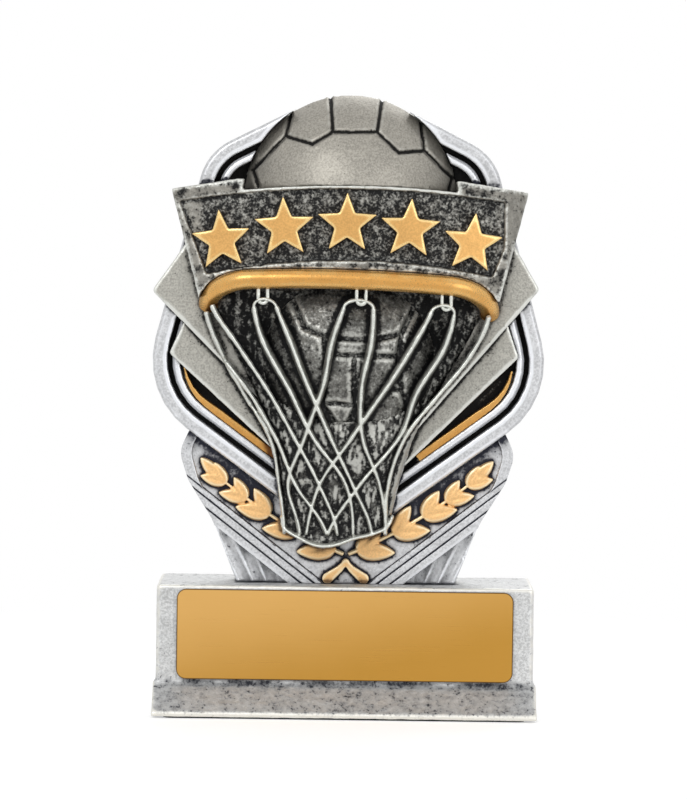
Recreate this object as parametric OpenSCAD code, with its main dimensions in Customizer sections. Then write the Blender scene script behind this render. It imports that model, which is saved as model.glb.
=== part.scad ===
// Netball trophy: a layered relief upright with ball, hoop and net, on a plinth with an engraving plate.
// Sizes are in millimetres. +X is to the right, -Y is the front, +Z is up.
// The origin is under the middle of the base, on the surface that the trophy stands on.

/* [Plinth] */
// Width of the plinth's front face
plinth_w = 78.6; // [74:0.2:100]
// Depth of the plinth from its front face to its back
plinth_d = 29; // [26:0.5:40]
// Height of the plinth's top above the table
plinth_h = 27.2; // [26.6:0.2:36]
// How far the sloped toe runs forward of the front face
toe_run = 7; // [5:0.5:12]
// How much wider the toe is at each end
toe_flare = 0.6; // [0.2:0.1:2]
// Height above the table of the crease between toe and front face
toe_crease_h = 6.9; // [5:0.1:7.2]
// Height above the table of the toe's small front lip
toe_lip_h = 1.3; // [1.1:0.1:2.5]
// Radius of the plinth's upright corners
plinth_corner_r = 0.9; // [0.4:0.1:2]

/* [Felt pad] */
// Thickness of the felt
felt_t = 1.2; // [0.8:0.1:1.6]
// How far the felt stands proud of the plinth's underside
felt_proud = 0.4; // [0.2:0.1:0.6]
// Border of bare plinth round the felt
felt_margin = 1.8; // [1.2:0.1:4]
// Corner radius of the felt
felt_corner_r = 2; // [1:0.5:5]

/* [Engraving plate] */
// Width of the engraving plate
plate_w = 70; // [50:0.5:72]
// Height of the engraving plate
plate_h = 18.8; // [12:0.1:19]
// Thickness of the engraving plate
plate_t = 0.5; // [0.4:0.1:1]
// Corner radius of the engraving plate
plate_corner_r = 2; // [1.5:0.1:4]
// Thickness of the double-sided tape behind it
tape_t = 0.2; // [0.1:0.05:0.5]
// Border of the plate that the tape leaves free
tape_margin = 1; // [0.5:0.1:1.4]

/* [Upright panel] */
// Thickness of the panel that carries the relief
panel_t = 7; // [6:0.5:9]
// Distance from the plinth's back to the panel's back
panel_inset = 9; // [6:0.5:10]
// How far the panel's rim stays inside the frame and the stem
panel_reveal = 0.3; // [0.1:0.1:0.8]
// Width of the tenon under the panel
tenon_w = 24; // [14:1:34]
// Thickness of the tenon
tenon_t = 5; // [3:0.5:5.5]
// Depth of the tenon in the plinth
tenon_l = 10; // [6:0.5:14]
// Clearance round the tenon in its mortise
tenon_gap = 0.1; // [0.05:0.05:0.3]

/* [Stem and shield] */
// Width of the stem where it flares widest, at the shield's shoulders
stem_w = 70; // [66:0.2:74]
// Height of the stem above the plinth, up to where it passes behind the frame
stem_h = 33; // [31:0.5:35]
// How far the stem's front stands off the panel
stem_rise = 3; // [2:0.1:3.6]
// Radius of each flute
flute_r = 1.3; // [0.8:0.1:1.6]
// Depth of each flute
flute_depth = 0.6; // [0.3:0.1:0.7]
// How far the shield stands off the stem
shield_rise = 2.2; // [1.6:0.1:2.4]
// Width of the shield where it meets the plinth
shield_foot_w = 24.2; // [20:0.2:30]
// Angle of the shield's lower edges from level
shield_angle = 37.7; // [34:0.1:41]
// Width of the shield's border outside the sunk field
shield_border = 4.6; // [3.8:0.1:5.2]
// Depth of the sunk field
field_depth = 1; // [0.5:0.1:1.2]
// Distance from one pinstripe to the next
pinstripe_pitch = 1.7; // [1.2:0.1:1.8]
// Width of a pinstripe groove
pinstripe_w = 0.35; // [0.2:0.05:0.5]
// Depth of a pinstripe groove
pinstripe_depth = 0.3; // [0.2:0.05:0.5]

/* [Laurel] */
// Length of the longest leaf
leaf_l = 7.6; // [6:0.1:8]
// Greatest thickness of the sprays above the sunk field
laurel_rise = 1.4; // [0.8:0.1:1.8]
// Width of the stalk that joins the leaves
stalk_w = 0.9; // [0.6:0.1:1.2]
// Width of the two crossed stalk ends
stalk_foot_w = 2.2; // [1.6:0.1:2.6]

/* [Frame] */
// Greatest width of the outer frame
frame_w = 82; // [78:0.5:88]
// Height of the frame from the tip of its V to its flat top
frame_h = 92.2; // [88:0.2:96]
// Height of the frame's V tip above the plinth
frame_lift = 7.6; // [7:0.1:9]
// Height above the V tip at which the frame is widest
frame_wide_h = 41.2; // [39:0.2:43]
// Width of the flat top behind the ball
frame_cap_w = 21; // [18:0.5:24]
// Angle of the V's edges from level
frame_v_angle = 36.1; // [35:0.1:37]
// Inward lean of the sides from upright
frame_lean = 15; // [14:0.5:17]
// Fall of the shoulders from level
frame_fall = 26.6; // [25:0.2:28]
// Radius of the rounded V tip
frame_tip_r = 10; // [9:0.5:14]
// Radius of the two widest corners
frame_side_r = 18; // [14:0.5:20]
// Radius of the two shoulder corners
frame_shoulder_r = 12; // [9:0.5:14]
// Radius where the shoulders meet the flat top
frame_cap_r = 4; // [1:0.5:6]
// How far the outer frame stands off the panel
frame_rise = 6; // [5:0.1:7]
// Width of the outer frame's band
outer_band_w = 3; // [2.4:0.1:3.4]
// Width of the groove between the two bands
groove_w = 1.1; // [0.7:0.1:1.6]
// Width of the inner frame's band
inner_band_w = 1.6; // [1.2:0.1:2]
// How far the inner frame stands off the panel
inner_rise = 5; // [3.5:0.1:5.4]
// Bevel along the front edges of both bands
band_bevel = 0.6; // [0.2:0.1:0.7]
// Width of the gold stripes
stripe_w = 1.6; // [1:0.1:2]
// How far the gold stripes stand off the panel
stripe_rise = 4.6; // [3:0.1:5]

/* [Tilted plates] */
// Thickness of the upper plate
upper_plate_t = 2.5; // [2.4:0.1:3.5]
// How far the upper plate's side corners stay inside the frame's width
upper_plate_in = 0.6; // [0:0.1:1.6]
// Height of the upper plate
upper_plate_h = 57; // [55:0.5:58]
// How far the lower plate's side corners stay inside the frame's width
lower_plate_in = 4.45; // [3.7:0.05:5.3]
// Height of the lower plate
lower_plate_h = 41.6; // [41:0.1:43]
// Corner radius of both plates
tilt_corner_r = 0.8; // [0.3:0.1:1.5]

/* [Banner] */
// How far the banner's top corners stay inside the frame's width
banner_in = 3.9; // [2.5:0.1:5]
// How far each end of the banner leans in from its top corner to its foot
banner_lean_in = 5.9; // [5.4:0.1:6.4]
// Height of the banner's face in the middle, from the ball's seat to the hoop's middle
banner_mid_h = 19.4; // [18:0.1:21]
// Thickness of the banner in the middle
banner_t = 9; // [8:0.1:10]
// Radius of the curve that the banner's face follows, seen from above
banner_curve_r = 127; // [110:1:200]
// Width of the banner's rim round the sunk field
banner_rim = 1.5; // [1:0.1:2]
// Depth of the banner's sunk field
banner_sunk = 0.8; // [0.4:0.1:1.2]
// Width of the sloped return at the banner's right end
banner_return_w = 4.6; // [4:0.1:5]

/* [Stars] */
// Number of stars in the row
star_count = 5; // [3:1:5]
// Width of a star as a share of the banner's width
star_w_share = 0.169; // [0.1:0.001:0.17]
// How far the stars stand off the sunk field
star_rise = 1.8; // [1:0.1:2.4]

/* [Ball] */
// Diameter of the ball's outline
ball_d = 44.8; // [43:0.2:46]
// How far the ball stands above the frame's flat top
ball_lift = 2.5; // [2:0.1:3.5]
// How far the ball's outline stands off the panel
ball_set = 2; // [1.5:0.1:2.6]
// How far the ball bulges forward of its outline
ball_front = 15; // [13:0.1:16]
// How far the ball bulges back from its outline
ball_back = 8; // [6:0.1:9]
// Height of the ball's seat above the ball's middle
seat_up = 3.5; // [3:0.1:4.5]
// Rise of the curved seat over its own width
seat_bow = 1.4; // [0.8:0.1:2]
// Width of the seam grooves
seam_w = 0.7; // [0.4:0.1:1]
// Depth of the seam grooves
seam_depth = 0.5; // [0.3:0.1:0.8]

/* [Hoop] */
// How far the middles of the hoop's ends stay inside the banner's foot
hoop_in = 1.9; // [1.4:0.1:2.4]
// Diameter of the hoop's tube
hoop_tube_d = 4.1; // [3.4:0.1:4.4]
// How far the hoop's middle line stands off the upper plate
hoop_reach = 9; // [8.4:0.1:9.6]
// How far the hoop's ends drop below its front
hoop_drop = 6.3; // [5.6:0.1:6.8]
// Radius of the hoop's two rounded corners
hoop_corner_r = 10; // [8.5:0.5:10]
// Sideways lean of the hoop, right end down
hoop_lean = 1.2; // [0:0.2:2.4]
// Diameter of the pegs on the hoop's ends
peg_d = 2.4; // [1.6:0.1:2.8]
// Length of the pegs
peg_l = 1.8; // [1:0.1:1.9]
// Clearance round the hoop and its pegs
hoop_gap = 0.1; // [0.05:0.05:0.2]

/* [Net] */
// Height of the net from its ties to its hem
net_h = 50.4; // [48:0.2:51]
// Thickness of the net's strands
strand_d = 1.2; // [0.9:0.1:1.4]
// How far the strands stand proud of the net's core at the hem
strand_proud = 0.5; // [0.3:0.05:0.8]
// Depth of the net in front of the upper plate, at the ties
net_reach = 9; // [8.6:0.1:9.4]
// Sideways shift of the hem, to the left
hem_shift = 2.4; // [1:0.1:3]
// Width of the hem as a share of the hoop's width
hem_w_share = 0.386; // [0.34:0.002:0.42]
// Diameter of the ball seen inside the net as a share of the hoop's width
net_ball_share = 0.683; // [0.62:0.001:0.7]
// How far that ball bulges forward of the upper plate
net_ball_front = 7; // [5.5:0.1:7.2]
// Thickness of the core's floor behind that ball
net_floor_t = 1.1; // [1:0.05:1.3]
// Clearance between that ball and the banner's foot above it
net_ball_gap = 0.18; // [0.1:0.02:0.5]
// Clearance between a loop that ties the net to the hoop and the strands beside it
tie_gap = 0.14; // [0.1:0.02:0.4]
// Thickness of the loops
tie_d = 0.8; // [0.6:0.1:0.9]
// Height of the loops
tie_h = 3.3; // [2.8:0.1:3.6]

/* [Hidden] */
$fn = 48;

// Overrun of cuts, end slab of a hull, and gap between faces that only lie side by side
cut = 0.5;
slab = 0.02;
fit = 0.05;
arc_steps = 6;

// Levels from back to front
base_back_y = (plinth_d + toe_run) / 2;
face_y = base_back_y - plinth_d;
toe_y = -base_back_y;
panel_back_y = base_back_y - panel_inset;
panel_y = panel_back_y - panel_t;
stem_y = panel_y - stem_rise;
shield_y = stem_y - shield_rise;
field_y = shield_y + field_depth;
laurel_y = field_y - laurel_rise;
frame_y = panel_y - frame_rise;
inner_y = panel_y - inner_rise;
stripe_y = panel_y - stripe_rise;
upper_y = frame_y - upper_plate_t;
floor_y = upper_y - net_floor_t;
banner_y = upper_y - banner_t;
ball_y = panel_y - ball_set;
panel_mid_y = (panel_y + panel_back_y) / 2;

// Widths that follow the frame's
upper_plate_w = frame_w - 2 * upper_plate_in;
lower_plate_w = frame_w - 2 * lower_plate_in;
banner_w = frame_w - 2 * banner_in;
banner_foot_w = banner_w - 2 * banner_lean_in;
hoop_w = banner_foot_w - 2 * hoop_in;
net_ball_d = hoop_w * net_ball_share;
net_top_share = 1.02;
tie_span_share = 0.14;
hem_w = hoop_w * hem_w_share;
tie_w = hoop_w / 2 * net_top_share * tie_span_share - strand_d - 2 * tie_gap;
star_r = banner_w * star_w_share / (2 * sin(72));

// Levels from the table up
under_z = felt_proud;
tip_z = plinth_h + frame_lift;
frame_top_z = tip_z + frame_h;
ball_r = ball_d / 2;
ball_z = frame_top_z + ball_lift - ball_r;
seat_z = ball_z + seat_up;
hoop_z = seat_z - banner_mid_h;
hoop_r = hoop_tube_d / 2;
strand_r = strand_d / 2;
net_top_z = hoop_z - hoop_r - strand_r;
hem_z = net_top_z - net_h;
net_ball_z = hoop_z + hoop_r + hoop_gap - net_ball_gap - net_ball_d / 2;
plate_z = (toe_crease_h + plinth_h) / 2;

// General helpers

function unit(v) = v / norm(v);

// Points of an arc of radius r that rounds the corner b between a and c
function fillet(a, b, c, r) = r <= 0 ? [b] :
    let (u = unit(a - b), v = unit(c - b), half = acos(u * v) / 2,
        p = b + u * r / tan(half), q = b + v * r / tan(half), o = b + unit(u + v) * r / sin(half),
        s = atan2(p.y - o.y, p.x - o.x), e = atan2(q.y - o.y, q.x - o.x),
        sweep = (e - s + 540) % 360 - 180)
    [for (k = [0 : arc_steps]) o + r * [cos(s + sweep * k / arc_steps), sin(s + sweep * k / arc_steps)]];

// An outline from corners written [x, z, corner radius]
function rounded(c) = let (n = len(c)) [for (i = [0 : n - 1])
    let (a = c[(i + n - 1) % n], b = c[i], d = c[(i + 1) % n])
    each fillet([a.x, a.y], [b.x, b.y], [d.x, d.y], b.z)];

// Corners from shares of a half width w, a height h and a radius r, standing at [x, z]
function scaled(shares, w, h, r, x, z) = [for (s = shares) [x + s.x * w, z + s.y * h, s.z * r]];

// Where the line through p at angle a crosses the line through q at angle b
function meet(p, a, q, b) = let (d = q - p)
    p + (d.x * sin(b) - d.y * cos(b)) / sin(b - a) * [cos(a), sin(a)];

// A point on the circular bow from p to q that rises by the given amount in the middle, t from 0 to 1
function bow_point(p, q, rise, t) = let (u = 2 * t - 1, d = q - p)
    p + d * t + unit([-d.y, d.x]) * rise * (1 - u * u);

// A smooth value through evenly spaced stations v, t from 0 to 1
function smooth(v, t) = let (n = len(v) - 1, i = min(floor(t * n), n - 1), f = t * n - i,
        a = v[max(i - 1, 0)], b = v[i], c = v[i + 1], d = v[min(i + 2, n)])
    b + 0.5 * f * (c - a + f * (2 * a - 5 * b + 4 * c - d + f * (3 * b - 3 * c + d - a)));

// A closed ribbon round the middle line p, with half widths w
function ribbon(p, w) = let (n = len(p) - 1,
        side = [for (i = [0 : n]) let (t = unit(p[min(i + 1, n)] - p[max(i - 1, 0)])) [-t.y, t.x] * w[i]])
    concat([for (i = [0 : n]) p[i] + side[i]], [for (i = [n : -1 : 0]) p[i] - side[i]]);

// Raises a front view outline from level back_y forward to level front_y
module relief(back_y, front_y) {
    translate([0, back_y, 0])
        rotate([90, 0, 0])
            linear_extrude(back_y - front_y)
                children();
}

// A rectangle with round corners about the origin
module rounded_rect(w, h, r) {
    polygon(rounded([[-w / 2, -h / 2, r], [w / 2, -h / 2, r], [w / 2, h / 2, r], [-w / 2, h / 2, r]]));
}

// A straight rod from a to b
module rod(a, b, r) {
    d = b - a;
    translate(a)
        rotate([0, acos(d.z / norm(d)), atan2(d.y, d.x)])
            cylinder(h = norm(d), r = r);
}

// Plinth, felt and engraving plate

module plinth() {
    felt_room = felt_t - felt_proud;
    color("silver")
        difference() {
            union() {
                translate([0, base_back_y - plinth_d / 2, under_z])
                    linear_extrude(plinth_h - under_z)
                        rounded_rect(plinth_w, plinth_d, plinth_corner_r);
                toe();
            }
            translate([0, 0, under_z - cut])
                linear_extrude(felt_room + cut)
                    rounded_rect(felt_w, felt_d, felt_corner_r);
            tenon(tenon_gap);
        }
}

felt_w = plinth_w - 2 * felt_margin;
felt_d = plinth_d + toe_run - 2 * felt_margin;

// The sloped toe, a little wider than the block behind it
module toe() {
    w = plinth_w + 2 * toe_flare;
    toe_back_y = face_y + toe_run / 2;
    translate([-w / 2, 0, 0])
        rotate([90, 0, 90])
            linear_extrude(w)
                polygon([[toe_y, under_z], [toe_back_y, under_z], [toe_back_y, toe_crease_h],
                    [face_y, toe_crease_h], [toe_y, toe_lip_h]]);
}

module felt_pad() {
    color("darkslategray")
        linear_extrude(felt_t)
            rounded_rect(felt_w - 2 * fit, felt_d - 2 * fit, felt_corner_r - fit);
}

module plate_tape() {
    color("whitesmoke")
        translate([0, 0, plate_z])
            relief(face_y, face_y - tape_t)
                rounded_rect(plate_w - 2 * tape_margin, plate_h - 2 * tape_margin,
                    plate_corner_r - tape_margin / 2);
}

module engraving_plate() {
    color("goldenrod")
        translate([0, 0, plate_z])
            relief(face_y - tape_t, face_y - tape_t - plate_t)
                rounded_rect(plate_w, plate_h, plate_corner_r);
}

// The frame family: one rounded diamond outline, moved in by any distance

function inward(angle) = [-sin(angle), cos(angle)];

// Corners of the diamond's right half, moved in by d: side, shoulder and cap, each [x, z, corner radius]
function diamond_half(d) = let (
        side_angle = 90 + frame_lean, fall_angle = 180 - frame_fall,
        v = [0, tip_z] + inward(frame_v_angle) * d,
        s = [frame_w / 2, tip_z + frame_wide_h] + inward(side_angle) * d,
        f = [frame_cap_w / 2, frame_top_z] + inward(fall_angle) * d,
        side = meet(v, frame_v_angle, s, side_angle),
        shoulder = meet(s, side_angle, f, fall_angle),
        cap = meet(f, fall_angle, [0, frame_top_z - d], 180))
    [[side.x, side.y, frame_side_r - d], [shoulder.x, shoulder.y, frame_shoulder_r - d],
        [cap.x, cap.y, max(frame_cap_r - d, 0)]];

// Height of the diamond's lowest corner, moved in by d
function diamond_foot(d) = tip_z + d / cos(frame_v_angle);

function diamond(d) = let (half = diamond_half(d))
    rounded(concat([[0, diamond_foot(d), max(frame_tip_r - d, 0)]], half,
        [for (i = [2 : -1 : 0]) [-half[i].x, half[i].y, half[i].z]]));

// The front view room that the ball takes out of the frames
module ball_room() {
    relief(panel_y + cut, banner_y - cut)
        intersection() {
            translate([0, ball_z]) circle(ball_r + fit);
            above_seat();
        }
}

// Everything above the bowed seat of the ball, in the front view
module above_seat() {
    reach = ball_r + banner_rim;
    top_z = frame_top_z + ball_r;
    p = [-reach, seat_z - seat_bow];
    q = [reach, seat_z - seat_bow];
    polygon(concat([for (k = [0 : arc_steps * 2]) bow_point(p, q, seat_bow, k / (arc_steps * 2))],
        [[reach, top_z], [-reach, top_z]]));
}

// A flat ring between two insets of the diamond, bevelled along its outer front edge
module band(inset, width, front_y) {
    difference() {
        hull() {
            relief(panel_y, front_y + band_bevel) polygon(diamond(inset));
            relief(front_y + slab, front_y) polygon(diamond(inset + band_bevel));
        }
        relief(panel_y + cut, front_y - cut) polygon(diamond(inset + width));
        ball_room();
    }
}

module outer_frame() {
    color("lightgray") band(0, outer_band_w, frame_y);
}

module inner_frame() {
    color("silver") band(outer_band_w + groove_w, inner_band_w, inner_y);
}

// A gold stripe follows the diamond inside the inner frame, from the V's edge into the side corner
stripe_in = outer_band_w + groove_w + inner_band_w + stripe_w / 2 + fit;
stripe_end_share = 0.36;
stripe_turn_share = 0.6;
stripe_taper_share = 0.25;
stripe_steps = 6;

module stripe() {
    half = diamond_half(stripe_in);
    foot = [0, diamond_foot(stripe_in)];
    turn = fillet(foot, [half[0].x, half[0].y], [half[1].x, half[1].y], half[0].z);
    start = foot + frame_w / 2 * stripe_end_share * [1, tan(frame_v_angle)];
    last = round(arc_steps * stripe_turn_share);
    p = concat([for (k = [0 : stripe_steps]) start + (turn[0] - start) * k / stripe_steps],
        [for (k = [1 : last]) turn[k]]);
    n = len(p) - 1;
    w = [for (k = [0 : n]) stripe_w / 2 * min(1, stripe_taper_share + (n - k) / last * stripe_turn_share)];
    relief(panel_y, stripe_y) polygon(ribbon(p, w));
}

module gold_stripe_left() {
    color("goldenrod") mirror([1, 0, 0]) stripe();
}

module gold_stripe_right() {
    color("goldenrod") stripe();
}

// Upright panel, stem and shield

stem_shares = [[0.654, 0, 0], [0.803, 0.4, 0.35], [0.95, 0.65, 0.16], [1.004, 0.83, 0.16], [0.93, 1, 0]];

// The flared front view outline of the stem, moved in by a distance
function stem_outline(d) = let (
        half = scaled(stem_shares, stem_w / 2 - d, stem_h, stem_h, 0, plinth_h))
    rounded(concat(half, [for (i = [len(half) - 1 : -1 : 0]) [-half[i].x, half[i].y, half[i].z]]));

module tenon(gap) {
    translate([-tenon_w / 2 - gap, panel_mid_y - tenon_t / 2 - gap, plinth_h - tenon_l - gap])
        cube([tenon_w + 2 * gap, tenon_t + 2 * gap, tenon_l + gap + cut]);
}

module upright_panel() {
    color("dimgray") {
        difference() {
            relief(panel_back_y, panel_y) {
                polygon(diamond(panel_reveal));
                polygon(stem_outline(panel_reveal));
            }
            seated_lens(fit);
        }
        tenon(0);
    }
}

// What the frame leaves of a piece that lies below its V
module below_frame() {
    difference() {
        children();
        relief(panel_y + cut, frame_y - cut) polygon(diamond(-fit));
    }
}

flute_shares = [0.66, 0.78, 0.9];

module fluted_stem() {
    foot = stem_w / 2 * stem_shares[0].x;
    groove_y = stem_y - flute_r + flute_depth;
    color("lightgray")
        below_frame()
            difference() {
                relief(panel_y, stem_y) polygon(stem_outline(0));
                for (side = [-1, 1], s = flute_shares)
                    rod([side * foot * s, groove_y, plinth_h - cut],
                        [side * stem_w / 2 * s, groove_y, plinth_h + stem_h * stem_shares[2].y], flute_r);
            }
}

// The front view region above the shield's two lower edges, moved in by a distance
module above_v(d) {
    foot = shield_foot_w / 2 - d / sin(shield_angle);
    rise = stem_w * tan(shield_angle);
    polygon([[-foot, plinth_h], [foot, plinth_h], [foot + stem_w, plinth_h + rise],
        [-foot - stem_w, plinth_h + rise]]);
}

module laurel_shield() {
    field_side = shield_border / 2;
    color("silver")
        below_frame()
            difference() {
                intersection() {
                    relief(stem_y, shield_y) polygon(stem_outline(0));
                    relief(stem_y, shield_y) above_v(0);
                }
                intersection() {
                    relief(field_y, shield_y - cut) polygon(stem_outline(field_side));
                    relief(field_y, shield_y - cut) above_v(shield_border);
                }
                for (side = [-1, 1], k = [1, 2])
                    pinstripe(side, k * pinstripe_pitch);
            }
}

module pinstripe(side, d) {
    foot = shield_foot_w / 2 - d / sin(shield_angle);
    translate([side * foot, shield_y + pinstripe_depth, plinth_h])
        rotate([90, -shield_angle * side, 0])
            translate([side > 0 ? -cut : -stem_w / 2, -pinstripe_w / 2, 0])
                cube([stem_w / 2 + cut, pinstripe_w, pinstripe_depth + cut]);
}

// Laurel sprays

// Each pair of leaves: place along the stalk, leaf length, angle of the outer leaf, angle of the inner leaf
leaf_shares = [[0.06, 1, -3, 42], [0.32, 0.97, 5, 58], [0.54, 0.92, 12, 58], [0.72, 0.76, 12, 58],
    [0.89, 0.7, 15, 60]];
leaf_slim_share = 0.24;
stalk_tip_share = 0.8;
stalk_height_share = 0.7;
stalk_bow_share = 0.16;
stalk_taper_share = 0.4;
stalk_cross_share = 0.7;
stalk_steps = 10;
inner_leaf_share = 0.87;
// The leaf at the tip: place along the stalk, leaf length, angle
tip_leaf_share = [0.96, 0.66, 46];

cross_z = plinth_h + leaf_l * stalk_cross_share;
stalk_start = [stalk_w / 2 + fit, cross_z + stalk_w];
stalk_end = [stem_w / 2 * stalk_tip_share, plinth_h + stem_h * stalk_height_share];

function stalk_point(t) = bow_point(stalk_start, stalk_end, -leaf_l * stalk_bow_share, t);

// A pointed leaf from the origin along +X: two circles' shared part
module leaf(l) {
    w = l * leaf_slim_share;
    r = (l * l / 4 + w * w) / (2 * w);
    intersection() {
        translate([l / 2, w - r]) circle(r);
        translate([l / 2, r - w]) circle(r);
    }
}

// A raised leaf of the spray, from the point t of its stalk at an angle
module raised_leaf(t, angle, l) {
    p = stalk_point(t);
    relief(field_y, laurel_y)
        translate(p) rotate(angle) leaf(l);
}

module spray() {
    p = [for (k = [0 : stalk_steps]) stalk_point(k / stalk_steps)];
    w = [for (k = [0 : stalk_steps]) stalk_w / 2 * (1 - stalk_taper_share * k / stalk_steps)];
    relief(field_y, laurel_y) polygon(ribbon(p, w));
    for (s = leaf_shares) {
        raised_leaf(s[0], s[2], leaf_l * s[1]);
        raised_leaf(s[0], s[3], leaf_l * s[1] * inner_leaf_share);
    }
    raised_leaf(tip_leaf_share[0], tip_leaf_share[2], leaf_l * tip_leaf_share[1]);
}

module laurel_right() {
    color("burlywood") spray();
}

module laurel_left() {
    color("burlywood") mirror([1, 0, 0]) spray();
}

// The crossed ends of the two stalks under the sprays
module laurel_stalks() {
    foot_z = plinth_h + stalk_foot_w / 2;
    foot_x = leaf_l / 2;
    top_z = cross_z - stalk_w / 4;
    color("burlywood")
        for (side = [-1, 1]) {
            relief(field_y, laurel_y)
                polygon(ribbon([[-side * stalk_w / 2, top_z], [side * foot_x / 3, (top_z + foot_z) / 2],
                        [side * foot_x, foot_z]],
                    [stalk_w / 2, stalk_foot_w / 3, stalk_foot_w / 2]));
            relief(field_y, laurel_y)
                translate([side * foot_x, foot_z]) circle(stalk_foot_w / 2, $fn = 24);
        }
}

// The two tilted plates behind the banner

lower_shares = [[-1.026, 0.665, 1], [-0.19, 0, 1], [0.2, 0, 1], [0.974, 0.665, 1], [0.84, 1, 1],
    [-0.85, 1, 1]];
upper_shares = [[-1.017, 0.75, 1], [0.054, 0, 1], [0.983, 0.77, 1], [0.79, 1, 1], [-0.77, 1, 1]];
lower_lift_share = 0.137;
upper_rise_share = 0.58;
lower_plate_z = tip_z + frame_h * lower_lift_share;
upper_plate_z = hoop_z - upper_plate_h + banner_mid_h * upper_rise_share;

module lower_outline() {
    polygon(rounded(scaled(lower_shares, lower_plate_w / 2, lower_plate_h, tilt_corner_r,
        0, lower_plate_z)));
}

module upper_outline() {
    polygon(rounded(scaled(upper_shares, upper_plate_w / 2, upper_plate_h, tilt_corner_r,
        0, upper_plate_z)));
}

module lower_plate() {
    inside = stripe_in + stripe_w / 2 + fit;
    color("gray") {
        intersection() {
            relief(inner_y, frame_y) lower_outline();
            relief(inner_y, frame_y) polygon(diamond(outer_band_w + fit));
        }
        intersection() {
            relief(panel_y, inner_y) lower_outline();
            relief(panel_y, inner_y) polygon(diamond(inside));
        }
    }
}

module upper_plate() {
    color("gray")
        difference() {
            relief(frame_y, upper_y) upper_outline();
            hoop_pegs(hoop_gap);
        }
}

// The hoop: an arch of three arcs, tilted so that its front is raised, on two pegs

hoop_span = norm([hoop_reach, hoop_drop]);
hoop_tilt = atan2(hoop_drop, hoop_reach);
hoop_half = hoop_w / 2;
hoop_front_r = (hoop_half * hoop_half - 2 * hoop_half * hoop_corner_r + hoop_span * hoop_span)
    / (2 * (hoop_span - hoop_corner_r));
hoop_turn = atan2(hoop_front_r - hoop_span, hoop_half - hoop_corner_r);
hoop_steps = 40;
hoop_sides = 20;

// Puts an arch that is drawn in the XY plane, with its front towards -Y, where the hoop is
module place_hoop() {
    translate([0, upper_y, hoop_z - hoop_drop])
        rotate([0, hoop_lean, 0])
            rotate([-hoop_tilt, 0, 0])
                children();
}

// The arch's middle line, run straight back behind the upper plate's front at both ends
arch_path = concat([[-hoop_half, hoop_r]], [for (k = [0 : hoop_steps]) arch_point(k / hoop_steps)],
    [[hoop_half, hoop_r]]);

// One ring of points of radius r round the k-th point of the middle line
function arch_ring(k, r) = let (n = len(arch_path) - 1, p = arch_path[k],
        t = unit(arch_path[min(k + 1, n)] - arch_path[max(k - 1, 0)]))
    [for (j = [0 : hoop_sides - 1]) let (a = 360 * (j + 0.5) / hoop_sides)
        [p.x - t.y * r * cos(a), p.y + t.x * r * cos(a), r * sin(a)]];

module hoop_tube(r) {
    n = len(arch_path);
    m = hoop_sides;
    place_hoop()
        polyhedron([for (k = [0 : n - 1]) each arch_ring(k, r)],
            concat([[for (j = [0 : m - 1]) j]], [[for (j = [m - 1 : -1 : 0]) (n - 1) * m + j]],
                [for (k = [0 : n - 2], j = [0 : m - 1]) let (i = (j + 1) % m)
                    each [[k * m + j, (k + 1) * m + j, k * m + i],
                        [k * m + i, (k + 1) * m + j, (k + 1) * m + i]]]),
            convexity = 4);
}

module hoop_pegs(gap) {
    place_hoop()
        for (side = [-1, 1])
            rod([side * hoop_half, -cut, 0], [side * hoop_half, peg_l + gap, 0], peg_d / 2 + gap);
}

module hoop() {
    color("gold") {
        difference() {
            hoop_tube(hoop_r);
            translate([-hoop_w, upper_y, 0]) cube([2 * hoop_w, hoop_w, 2 * hoop_z]);
        }
        hoop_pegs(0);
    }
}

// Puts a point of the flat arch where the hoop is
function hoop_place(p) = let (
        y = p.y * cos(hoop_tilt), z = -p.y * sin(hoop_tilt))
    [p.x * cos(hoop_lean) + z * sin(hoop_lean), upper_y + y,
        hoop_z - hoop_drop - p.x * sin(hoop_lean) + z * cos(hoop_lean)];

// A point of the flat arch's middle line, t from 0 at the left end to 1 at the right end
function arch_point(t) = let (
        a = 180 + 180 * t,
        b = 270 + (a - 270) * (90 - hoop_turn) / (90 - hoop_turn / 2),
        corner = hoop_half - hoop_corner_r)
    a < 180 + hoop_turn / 2 ? corner_point(-corner, 180 + (a - 180) * 2) :
    a > 360 - hoop_turn / 2 ? corner_point(corner, 360 - (360 - a) * 2) :
    [hoop_front_r * cos(b), hoop_front_r - hoop_span + hoop_front_r * sin(b)];

function hoop_point(t) = hoop_place(arch_point(t));

// The hoop's middle line in the front view, without the given count of points at either end
function hoop_line(less) = [for (k = [less : outline_steps - less])
    let (p = hoop_point(k / outline_steps)) [p.x, p.z]];

function corner_point(x, a) = [x + hoop_corner_r * cos(a), hoop_corner_r * sin(a)];

// The hoop's middle line above the front view place x
function hoop_above(x) = let (
        side = min(abs(x), hoop_half), corner = hoop_half - hoop_corner_r, over = side - corner,
        y = over > hoop_corner_r * cos(hoop_turn) ? -sqrt(hoop_corner_r * hoop_corner_r - over * over) :
            hoop_front_r - hoop_span - sqrt(hoop_front_r * hoop_front_r - side * side))
    hoop_place([x, y]);

// Banner and stars

shoulder_share = 0.62;
shoulder_rise_share = 1.8;
corner_rise_share = 0.2;
field_low_share = 1.2;
field_high_share = 0.4;
crease_rim_share = 0.25;
banner_foot_z = hoop_z - hoop_drop + hoop_r;
banner_top_z = seat_z - seat_bow;
banner_axis_y = banner_y + banner_curve_r;
banner_crease_x = banner_w / 2 - banner_return_w;
outline_steps = 24;

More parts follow.
